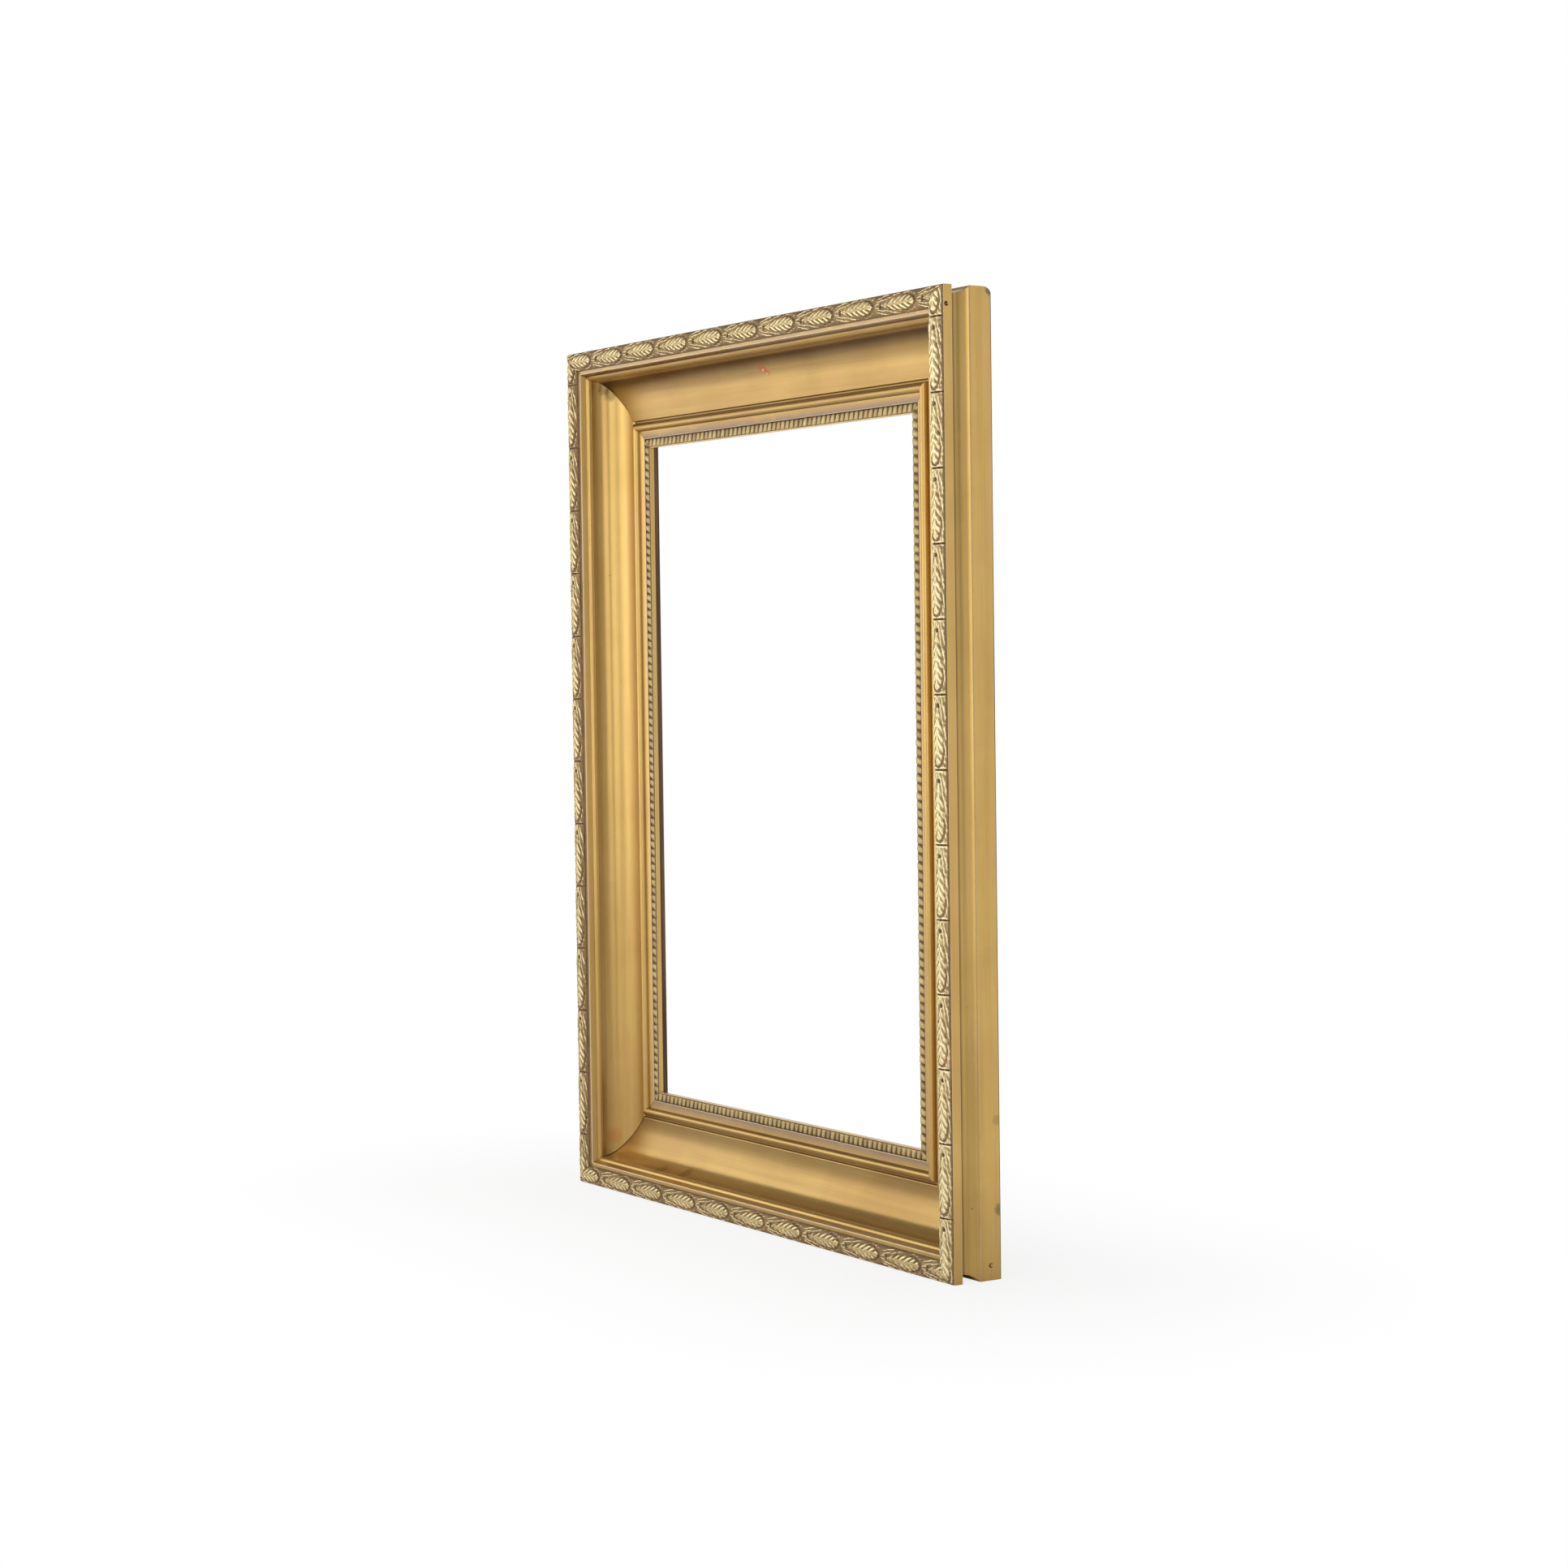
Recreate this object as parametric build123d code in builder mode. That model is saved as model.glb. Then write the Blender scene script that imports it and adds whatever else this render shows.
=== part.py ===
from build123d import *
from math import asin, atan2, ceil, cos, degrees, sin, sqrt
import os

# Gilded picture frame: mitred rails with a deep scoop, cast laurel and bead runs, and fittings on the back.
# Millimetres. +Z is up, the front faces -Y, and the origin is under the middle of the bottom edge.
# A section is drawn with x running inward from the outer edge and y running back from the laurel's crest.

# Picture opening
sight_width = 508.0
sight_height = 711.0
rebate_width = 6.5
rebate_depth = 9.0

# Whole section
frame_depth = 61.0
mitre_gap = 0.2
glue_line = 0.1

# Front block and its ornament band
laurel_band = 19.3
laurel_height = 3.2
block_side = 13.0
seat_fall = 4.6
listel_width = 5.1
listel_rise = 1.6
step_depth = 6.4
step_lean = 1.2
lip_width = 5.5
lip_fall = 4.1
lip_bulge = 1.1
neck_inset = 7.0
neck_length = 4.3
cavetto_length = 14.0
cavetto_hollow = 1.85

# Back rail
back_rail_width = 34.0
rear_edge_radius = 1.5
top_worn_radius = 5.0

# Scoop
cove_width = 48.4
cove_board = 8.0
cove_tight_radius = 22.0
cove_tight_turn = 58.0
channel_depth = 9.5

# Sight moulding
quirk_width = 2.4
quirk_depth = 2.2
astragal_width = 9.2
astragal_rise = 5.1
frieze_width = 8.8
frieze_step = 0.7
frieze_fall = 1.0
bead_band = 9.0
bead_seat_drop = 2.0
sight_fillet = 1.1
sight_fillet_rise = 0.8
sight_chamfer = 0.6

# Cast laurel, whose leaf outlines are shares of a leaf's length and half width
leaf_repeat = 70.0
laurel_margin = 0.8
laurel_crack = 0.5
laurel_side_gap = 0.2
laurel_outer_edge = 0.7
laurel_inner_edge = 2.2
laurel_crown = 3.8
laurel_crown_width = 7.0
leaf_length = 60.0
leaf_width = 11.5
leaf_tip_gap = 4.0
leaf_root = 1.5
side_leaf_length = 34.0
side_leaf_width = 5.6
side_leaf_height = 3.6
side_leaf_root = 0.5
side_leaf_margin = 0.3
side_leaf_stem = 1.0
ridge_share = 0.15
neck_at = 0.25
neck_share = 0.7
belly_at = 0.6
shoulder_at = 0.93
shoulder_share = 0.6
first_leaf_joint = {"top": 60.0, "bottom": 50.0, "left": 35.0, "right": 29.0}
leaf_sense = {"top": 1, "bottom": -1, "left": -1, "right": 1}

# Cast beads
bead_pitch = 8.5
bead_top = 5.0
bead_height = 3.8
bead_strip_base = 1.2
bead_side_gap = 0.2

# Mitre nails
nail_width = 2.4
nail_thickness = 1.8
nail_length = 45.0
nail_head_overhang = 0.5
nail_head_thickness = 1.0
nail_set = 1.5
drill_clearance = 0.1
front_nail_from_end = 18.0
back_nail_from_end = 14.0

# Turn buttons and their screws
button_length = 36.0
button_width = 13.0
button_thickness = 1.6
button_corner = 3.5
button_play = 0.3
button_from_middle = 178.0
button_screw_diameter = 3.8
button_screw_length = 12.0
button_screw_head = 7.6
button_screw_head_height = 1.8
screw_sides = 12
screw_slot_width = 1.0
screw_slot_depth = 0.8

# Strap hangers and their rings
hanger_from_top = 235.0
hanger_offset = 14.0
strap_width = 11.0
strap_length = 26.0
strap_thickness = 1.2
strap_corner = 2.0
strap_screw_inset = 6.0
hanger_screw_diameter = 3.2
hanger_screw_length = 7.0
hanger_screw_head = 6.0
hanger_screw_head_height = 1.4
ring_bar = 2.2
ring_width = 19.0
ring_height = 14.0
ring_play = 0.3

# Levels behind the laurel's crest
arris_level = laurel_height
block_rear_level = arris_level + block_side
neck_end_level = block_rear_level + neck_length
seam_level = neck_end_level + cavetto_length
seat_level = arris_level + seat_fall
listel_level = seat_level - listel_rise
step_level = listel_level + step_depth
lip_level = step_level + lip_fall
channel_level = frame_depth - channel_depth
cove_foot_level = channel_level - cove_board
quirk_level = cove_foot_level + quirk_depth
frieze_level = cove_foot_level + frieze_step
bead_outer_level = frieze_level + frieze_fall
bead_seat_level = bead_outer_level + bead_seat_drop
sight_level = bead_seat_level - sight_fillet_rise
rebate_level = frame_depth - rebate_depth

# Insets from the outer edge
listel_inset = laurel_band + listel_width
step_inset = listel_inset + step_lean
lip_inset = step_inset + lip_width
cove_inset = lip_inset + cove_width
astragal_inset = cove_inset + quirk_width
frieze_inset = astragal_inset + astragal_width
bead_inset = frieze_inset + frieze_width
fillet_inset = bead_inset + bead_band
moulding_width = fillet_inset + sight_fillet
rebate_inset = moulding_width - rebate_width
button_inset = (cove_inset + rebate_inset) / 2
hanger_inset = back_rail_width + hanger_offset
hanger_sides = ("left", "right")
barrel_bore = ring_bar / sqrt(2) + ring_play
barrel_radius = barrel_bore + strap_thickness
strap_screw_drop = strap_length - strap_screw_inset

# Whole object
outer_width = sight_width + 2 * moulding_width
outer_height = sight_height + 2 * moulding_width
fitting_proud = 2 * button_play + button_thickness + button_screw_head_height
front_y = -(frame_depth + fitting_proud) / 2
back_y = front_y + frame_depth
sides = ("top", "bottom", "left", "right")
side_length = {"top": outer_width, "bottom": outer_width, "left": outer_height, "right": outer_height}

# The laurel's seat leans back towards the inside
seat_cant = atan2(seat_fall, laurel_band)
laurel_middle = (laurel_margin + laurel_band) / 2
ridge_half = ridge_share * leaf_width / 2
leaf_height = (arris_level + seat_fall * laurel_middle / laurel_band - ridge_half * sin(seat_cant)) / cos(seat_cant)


def side_plane(side):
    """Plane across the middle of one side: x inward, y back from the crest, z along the side."""
    origin, inward, along = {
        "top": ((0, front_y, outer_height), (0, 0, -1), (1, 0, 0)),
        "bottom": ((0, front_y, 0), (0, 0, 1), (-1, 0, 0)),
        "left": ((-outer_width / 2, front_y, outer_height / 2), (1, 0, 0), (0, 0, 1)),
        "right": ((outer_width / 2, front_y, outer_height / 2), (-1, 0, 0), (0, 0, -1)),
    }[side]
    return Plane(origin=origin, x_dir=inward, z_dir=along)


def cut_mitres(side):
    """Cut both ends of the piece in hand at 45 degrees, each half a gap short of the corner's line."""
    plane = side_plane(side)
    half = side_length[side] / 2 - mitre_gap / sqrt(2)
    for end in (-1, 1):
        corner = plane.from_local_coords((0, 0, end * half))
        split(bisect_by=Plane(origin=corner, z_dir=plane.x_dir + plane.z_dir * end), keep=Keep.BOTTOM)


def save(piece, name):
    """Label a finished piece and write it to its own file."""
    piece.part.label = name
    export_step(piece.part, f"parts/{name}.step")


def outer_rail_section():
    """Front block: canted ornament seat, listel, lip, neck and cavetto."""
    Polyline(
        (neck_inset, neck_end_level),
        (neck_inset, block_rear_level),
        (0, block_rear_level),
        (0, arris_level),
        (laurel_band, seat_level),
        (laurel_band, listel_level),
        (listel_inset, listel_level),
        (step_inset, step_level),
    )
    SagittaArc((step_inset, step_level), (lip_inset, lip_level), -lip_bulge)
    Polyline((lip_inset, lip_level), (lip_inset, seam_level), (0, seam_level))
    SagittaArc((0, seam_level), (neck_inset, neck_end_level), cavetto_hollow)


def back_rail_section():
    """Flat rail behind the front block, flush with its outer face, with its rear edge eased."""
    Polyline(
        (0, frame_depth - rear_edge_radius),
        (0, seam_level + glue_line),
        (back_rail_width, seam_level + glue_line),
        (back_rail_width, frame_depth),
        (rear_edge_radius, frame_depth),
    )
    CenterArc((rear_edge_radius, frame_depth - rear_edge_radius), rear_edge_radius, 90, 90)


def cove_rail_section():
    """Scoop: a tight hollow under the lip that runs tangent into a wide one, on a board with a square back."""
    start = (lip_inset + glue_line, lip_level)
    foot_inset = cove_inset - glue_line
    tight = JernArc(start=start, tangent=(0, 1), radius=cove_tight_radius, arc_size=-cove_tight_turn)
    TangentArc(tight @ 1, (foot_inset, cove_foot_level), tangent=tight % 1)
    Polyline(
        (foot_inset, cove_foot_level),
        (foot_inset, channel_level),
        (back_rail_width + glue_line, channel_level),
        (back_rail_width + glue_line, seam_level),
        (lip_inset + glue_line, seam_level),
        start,
    )


def sight_rail_section():
    """Astragal, frieze, bead seat and sight edge, with the rebate behind."""
    crest = (astragal_inset + astragal_width / 2, cove_foot_level - astragal_rise)
    Polyline(
        (frieze_inset, cove_foot_level),
        (frieze_inset, frieze_level),
        (bead_inset, bead_outer_level),
        (bead_inset, bead_seat_level),
        (fillet_inset, bead_seat_level),
        (fillet_inset, sight_level),
        (moulding_width - sight_chamfer, sight_level),
        (moulding_width, sight_level + sight_chamfer),
        (moulding_width, rebate_level),
        (rebate_inset, rebate_level),
        (rebate_inset, frame_depth),
        (cove_inset, frame_depth),
        (cove_inset, quirk_level),
        (astragal_inset, quirk_level),
        (astragal_inset, cove_foot_level),
    )
    ThreePointArc((astragal_inset, cove_foot_level), crest, (frieze_inset, cove_foot_level))


def screw_face(plane, radius):
    """Nearly round face on a plane, with the few sides that a screw gets."""
    with BuildSketch(plane) as face:
        RegularPolygon(radius, screw_sides)
    return face.sketch


# Nails go in from the left and right faces, through the upright rails and along the cross rails
nail_levels = {"front": (arris_level + block_rear_level) / 2, "back": (seam_level + frame_depth) / 2}
nail_from_end = {"front": front_nail_from_end, "back": back_nail_from_end}


def nail_planes(row):
    """Planes on the outer faces where the nails of one row enter, looking into the wood."""
    planes = []
    for end in (-1, 1):
        for height in (nail_from_end[row], outer_height - nail_from_end[row]):
            entry = (end * outer_width / 2, front_y + nail_levels[row], height)
            planes.append(Plane(origin=entry, x_dir=(0, 1, 0), z_dir=(-end, 0, 0)))
    return planes


def nail(plane, clearance, head_reach, mode):
    """A cut nail of oblong section with its head set below the face, or the punched hole that takes it."""
    head_bottom = nail_set + nail_head_thickness
    head_spread = 2 * (nail_head_overhang + clearance)
    with BuildSketch(plane.offset(head_bottom - head_reach)) as head:
        Rectangle(nail_thickness + head_spread, nail_width + head_spread)
    extrude(head.sketch, amount=head_reach + clearance, mode=mode)
    with BuildSketch(plane.offset(head_bottom)) as shank:
        Rectangle(nail_thickness + 2 * clearance, nail_width + 2 * clearance)
    extrude(shank.sketch, amount=nail_length - nail_head_thickness + clearance, mode=mode)


def bore_nail_holes(row):
    """Holes of one row of nails, open at the face."""
    for plane in nail_planes(row):
        nail(plane, drill_clearance, nail_set + nail_head_thickness, Mode.SUBTRACT)


# Two turn buttons on each upright side and one on each cross side, by their distance along the side
button_places = {
    "left_upper": ("left", button_from_middle),
    "left_lower": ("left", -button_from_middle),
    "right_upper": ("right", -button_from_middle),
    "right_lower": ("right", button_from_middle),
    "top": ("top", 0.0),
    "bottom": ("bottom", 0.0),
}


def button_plane(place):
    """Plane on the back of the sight rail at one button's screw, facing back, with x along the rail."""
    side, along = button_places[place]
    across = side_plane(side)
    origin = across.from_local_coords((button_inset, frame_depth, along))
    return Plane(origin=origin, x_dir=across.z_dir, z_dir=(0, 1, 0))


def hanger_plane(side, drop=0.0):
    """Plane on the channel's floor, a drop below one hanger's ring bar, facing back, with y up."""
    foot = side_plane(side).from_local_coords((hanger_inset, channel_level, 0))
    origin = (foot.X, foot.Y, outer_height - hanger_from_top - drop)
    return Plane(origin=origin, x_dir=(-1, 0, 0), z_dir=(0, 1, 0))


def bore_screw_hole(plane, diameter, length):
    """Pilot hole of one screw, driven in against the plane's normal."""
    hole = screw_face(plane, diameter / 2 + drill_clearance)
    extrude(hole, amount=-(length + drill_clearance), mode=Mode.SUBTRACT)


def screw(plane, diameter, length, head, head_height, lift):
    """Slotted screw: a shank that ends below the plane and a flat head that starts at the lift above it."""
    extrude(screw_face(plane.offset(-length), diameter / 2), amount=length + lift)
    extrude(screw_face(plane.offset(lift), head / 2), amount=head_height)
    with BuildSketch(plane.offset(lift + head_height)) as slot:
        Rectangle(head, screw_slot_width)
    extrude(slot.sketch, amount=-screw_slot_depth, mode=Mode.SUBTRACT)


def finish_outer_rail(side):
    """Nail holes through the front block's mitres."""
    bore_nail_holes("front")


def finish_back_rail(side):
    """Worn round along the top's back edge, which crosses the upright rails' ends, and the nail holes."""
    with BuildSketch(Plane.YZ) as worn_corner:
        with BuildLine():
            Polyline(
                (back_y - top_worn_radius, outer_height),
                (back_y, outer_height),
                (back_y, outer_height - top_worn_radius),
            )
            CenterArc((back_y - top_worn_radius, outer_height - top_worn_radius), top_worn_radius, 0, 90)
        make_face()
    extrude(worn_corner.sketch, amount=outer_width / 2, both=True, mode=Mode.SUBTRACT)
    bore_nail_holes("back")


def finish_cove_rail(side):
    """Screw holes under the hanger on an upright side."""
    if side in hanger_sides:
        bore_screw_hole(hanger_plane(side, strap_screw_drop), hanger_screw_diameter, hanger_screw_length)


def finish_sight_rail(side):
    """Screw holes under the side's turn buttons."""
    for place in button_places:
        if button_places[place][0] == side:
            bore_screw_hole(button_plane(place), button_screw_diameter, button_screw_length)


def mitred_rail(side, section, finish):
    """One rail: a section run along its side, mitred at both ends, then bored."""
    with BuildPart() as rail:
        with BuildSketch(side_plane(side)):
            with BuildLine():
                section()
            make_face()
        extrude(amount=side_length[side] / 2, both=True)
        cut_mitres(side)
        finish(side)
    return rail


def leaf(plane, length, width, root, height):
    """Leaf that rises from a rounded outline to a narrow midrib."""
    outlines = []
    for level, across, inset in ((root, 1.0, 0.0), (height, ridge_share, ridge_share)):
        start = length * inset
        reach = length - 2 * start
        half = across * width / 2
        with BuildSketch(plane.offset(level)) as outline:
            with BuildLine():
                Polyline(
                    (0, start),
                    (neck_share * half, start + neck_at * reach),
                    (half, start + belly_at * reach),
                    (shoulder_share * half, start + shoulder_at * reach),
                    (0, start + reach),
                )
                mirror(about=Plane.YZ)
            make_face()
        outlines.append(outline.sketch)
    loft(outlines, ruled=True)


def leaf_unit(sense):
    """One cast length of laurel: a crowned strip, two side leaves and a middle leaf that points along the sense."""
    seat = Plane(origin=(0, arris_level, 0), x_dir=(cos(seat_cant), sin(seat_cant), 0), z_dir=(0, 0, 1))
    middle = laurel_middle / cos(seat_cant)
    crown_half = laurel_crown_width / 2
    inner_edge = (laurel_band - laurel_side_gap - laurel_inner_edge * sin(seat_cant)) / cos(seat_cant)
    side_room = inner_edge - middle - side_leaf_height * sin(seat_cant) - side_leaf_margin
    side_leaf_turn = degrees(asin((side_room - side_leaf_width / 2) / side_leaf_length))
    with BuildPart() as unit:
        with BuildSketch(seat.offset(laurel_crack / 2)):
            with BuildLine():
                outer_top = (laurel_margin, -laurel_outer_edge)
                inner_top = (inner_edge, -laurel_inner_edge)
                Polyline(inner_top, (inner_edge, -glue_line), (laurel_margin, -glue_line), outer_top)
                Polyline(outer_top, (middle - crown_half, -laurel_crown), (middle + crown_half, -laurel_crown), inner_top)
            make_face()
        extrude(amount=leaf_repeat - laurel_crack)
        start = 0.0 if sense > 0 else leaf_repeat
        stem = leaf_repeat - leaf_tip_gap - leaf_length
        front = seat.y_dir * -1
        for turn in (-side_leaf_turn, side_leaf_turn):
            foot = seat.from_local_coords((middle, 0, start + sense * side_leaf_stem))
            plane = Plane(origin=foot, x_dir=seat.x_dir * sense, z_dir=front).rotated((0, 0, turn))
            leaf(plane, side_leaf_length, side_leaf_width, side_leaf_root, side_leaf_height)
        foot = seat.from_local_coords((middle, 0, start + sense * stem))
        plane = Plane(origin=foot, x_dir=seat.x_dir * sense, z_dir=front)
        leaf(plane, leaf_length, leaf_width, leaf_root, leaf_height)
    return unit


def laurel_run(side, units):
    """Cast lengths laid end to end along one side, with cut lengths at its mitres."""
    sense = leaf_sense[side]
    half = side_length[side] / 2
    first = first_leaf_joint[side]
    count = ceil((side_length[side] - first) / leaf_repeat) + 1
    with BuildPart(side_plane(side)) as run:
        for number in range(count):
            if sense > 0:
                start = -half + first + (number - 1) * leaf_repeat
            else:
                start = half - first - number * leaf_repeat
            with Locations((0, 0, start)):
                add(units[sense].part)
        cut_mitres(side)
    return run


def bead_run(side):
    """Cast strip of short cross ribs, one rib a bead, mitred at both ends."""
    across = side_plane(side)
    half = side_length[side] / 2 - bead_inset
    count = int((2 * half) // bead_pitch)
    crest = bead_seat_level - bead_height
    valley = bead_seat_level - bead_strip_base
    foot = bead_seat_level - glue_line
    outline = [(-half, foot), (-half, valley)]
    for number in range(count):
        middle = (number - (count - 1) / 2) * bead_pitch
        outline.append((middle - bead_pitch / 2, valley))
        outline.append((middle - bead_top / 2, crest))
        outline.append((middle + bead_top / 2, crest))
    outline += [(count / 2 * bead_pitch, valley), (half, valley), (half, foot)]
    edge = across.from_local_coords((bead_inset + bead_side_gap, 0, 0))
    with BuildPart() as run:
        with BuildSketch(Plane(origin=edge, x_dir=across.z_dir, z_dir=across.x_dir * -1)):
            with BuildLine():
                Polyline(*outline, close=True)
            make_face()
        extrude(amount=-(bead_band - 2 * bead_side_gap))
        cut_mitres(side)
    return run


os.makedirs("parts", exist_ok=True)
laurel_units = {sense: leaf_unit(sense) for sense in (1, -1)}

for side in sides:
    save(mitred_rail(side, back_rail_section, finish_back_rail), f"back_rail_{side}")
    save(mitred_rail(side, outer_rail_section, finish_outer_rail), f"outer_rail_{side}")
    save(mitred_rail(side, cove_rail_section, finish_cove_rail), f"cove_rail_{side}")
    save(mitred_rail(side, sight_rail_section, finish_sight_rail), f"sight_rail_{side}")
    save(laurel_run(side, laurel_units), f"laurel_{side}")
    save(bead_run(side), f"bead_{side}")

for row in nail_levels:
    with BuildPart() as nails:
        for plane in nail_planes(row):
            nail(plane, 0.0, nail_head_thickness, Mode.ADD)
    save(nails, f"{row}_mitre_nails")

# Turn buttons lie parked along their rails, clear of the rebate
for place in button_places:
    with BuildPart() as turn_button:
        with BuildSketch(button_plane(place).offset(button_play)) as plate:
            Rectangle(button_length, button_width)
            chamfer(plate.vertices(), button_corner)
            hole_radius = button_screw_diameter / 2 + button_play
            RegularPolygon(hole_radius, screw_sides, major_radius=False, mode=Mode.SUBTRACT)
        extrude(amount=button_thickness)
    save(turn_button, f"turn_button_{place}")

with BuildPart() as button_screws:
    for place in button_places:
        screw(
            button_plane(place),
            button_screw_diameter,
            button_screw_length,
            button_screw_head,
            button_screw_head_height,
            2 * button_play + button_thickness,
        )
save(button_screws, "button_screws")

with BuildPart() as hanger_screws:
    for side in hanger_sides:
        screw(
            hanger_plane(side, strap_screw_drop),
            hanger_screw_diameter,
            hanger_screw_length,
            hanger_screw_head,
            hanger_screw_head_height,
            strap_thickness,
        )
save(hanger_screws, "hanger_screws")


def ring_outline(grow):
    """D shape with its straight bar on top, grown all round from the middle of the ring's bar."""
    half = ring_width / 2 + grow
    bow_middle = ring_width / 2 - ring_height
    Polyline((-half, bow_middle), (-half, grow), (half, grow), (half, bow_middle))
    CenterArc((0, bow_middle), half, 180, 180)


# Each strap is folded round its ring's straight bar, and the ring hangs down over the strap
for side in hanger_sides:
    floor = hanger_plane(side)
    bar = floor.from_local_coords((0, 0, barrel_radius))
    bar_plane = Plane(origin=bar, x_dir=floor.z_dir, z_dir=floor.x_dir)
    with BuildPart() as strap:
        with BuildSketch(floor) as plate:
            with Locations((0, -strap_length / 2)):
                Rectangle(strap_width, strap_length)
            chamfer(plate.vertices(), strap_corner)
            with Locations((0, -strap_screw_drop)):
                hole_radius = hanger_screw_diameter / 2 + drill_clearance
                RegularPolygon(hole_radius, screw_sides, mode=Mode.SUBTRACT)
        extrude(amount=strap_thickness)
        with BuildSketch(bar_plane):
            Circle(barrel_radius)
        extrude(amount=strap_width / 2, both=True)
        with BuildSketch(bar_plane):
            Circle(barrel_bore)
        extrude(amount=strap_width / 2, both=True, mode=Mode.SUBTRACT)
    save(strap, f"strap_hanger_{side}")

    with BuildPart() as ring:
        for grow, mode in ((ring_bar / 2, Mode.ADD), (-ring_bar / 2, Mode.SUBTRACT)):
            with BuildSketch(floor.offset(barrel_radius - ring_bar / 2)):
                with BuildLine():
                    ring_outline(grow)
                make_face()
            extrude(amount=ring_bar, mode=mode)
    save(ring, f"hang_ring_{side}")
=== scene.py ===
"""Looks of a gilded picture frame: mitred mouldings, cast laurel and bead runs, and fittings on the back.

Metres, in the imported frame: +Z is up, the front faces -Y. A section is drawn in inset from the outer edge and
level behind the laurel's crest. A side runs along its own axis, with zero at its middle.
"""

import math
from functools import cache
from types import SimpleNamespace

import bpy
import numpy as np
from bpy.props import FloatProperty, FloatVectorProperty, IntProperty, PointerProperty
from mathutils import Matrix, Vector


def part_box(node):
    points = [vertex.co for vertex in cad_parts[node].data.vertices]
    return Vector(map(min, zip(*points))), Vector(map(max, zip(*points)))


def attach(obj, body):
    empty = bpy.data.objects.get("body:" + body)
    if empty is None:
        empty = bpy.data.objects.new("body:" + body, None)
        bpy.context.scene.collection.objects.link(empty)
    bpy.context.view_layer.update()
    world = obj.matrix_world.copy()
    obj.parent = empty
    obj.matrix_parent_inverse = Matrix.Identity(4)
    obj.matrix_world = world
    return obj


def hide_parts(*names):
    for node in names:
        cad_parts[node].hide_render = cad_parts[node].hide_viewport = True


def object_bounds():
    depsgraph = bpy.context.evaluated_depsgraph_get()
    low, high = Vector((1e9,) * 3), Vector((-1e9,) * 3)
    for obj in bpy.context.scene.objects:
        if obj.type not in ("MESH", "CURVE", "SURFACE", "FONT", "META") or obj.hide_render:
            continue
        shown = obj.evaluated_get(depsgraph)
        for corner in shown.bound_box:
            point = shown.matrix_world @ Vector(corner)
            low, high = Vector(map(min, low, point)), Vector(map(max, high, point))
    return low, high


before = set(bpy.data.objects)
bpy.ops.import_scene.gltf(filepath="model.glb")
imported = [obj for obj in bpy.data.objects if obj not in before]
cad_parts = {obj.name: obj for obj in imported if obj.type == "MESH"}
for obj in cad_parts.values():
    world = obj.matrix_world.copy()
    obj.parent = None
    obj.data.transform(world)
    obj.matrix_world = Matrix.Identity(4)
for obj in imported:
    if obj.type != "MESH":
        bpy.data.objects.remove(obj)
CAD_LOW, CAD_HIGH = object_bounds()

bl_info = {
    "name": "Gilded picture frame",
    "version": (1, 0, 0),
    "blender": (4, 5, 0),
    "location": "View3D > Sidebar > Frame",
    "description": "Builds the mouldings, cast ornament, fittings and stage of a gilded picture frame",
    "category": "Add Mesh",
}

MM = 0.001
BODY = "frame"
SIDES = ("top", "bottom", "left", "right")
FRONT = CAD_LOW[1]
OUTER_WIDTH = CAD_HIGH[0] - CAD_LOW[0]
OUTER_HEIGHT = CAD_HIGH[2] - CAD_LOW[2]
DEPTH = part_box("back_rail_top")[1].y - FRONT
# Stations along a rail and round a nail hole, and the last one before a cut end as a share of the half length
STATIONS = 61
HOLE_STATIONS = 33
LAST_STATION = 0.9995


def length(about, millimetres):
    """Length property, written in millimetres and kept in metres."""
    return FloatProperty(description=about, default=millimetres * MM, precision=5, unit="LENGTH")


def share(about, value):
    """Plain factor from 0 to 1."""
    return FloatProperty(description=about, default=value, min=0.0, max=1.0, subtype="FACTOR")


def amount(about, value, unit="NONE"):
    """Plain number, with a unit where it has one."""
    return FloatProperty(description=about, default=value, unit=unit)


def whole(about, value):
    """Whole number."""
    return IntProperty(description=about, default=value)


def colour(about, *rgb):
    """Linear colour property."""
    return FloatVectorProperty(description=about, default=rgb, size=3, min=0.0, max=1.0, subtype="COLOR")


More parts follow.
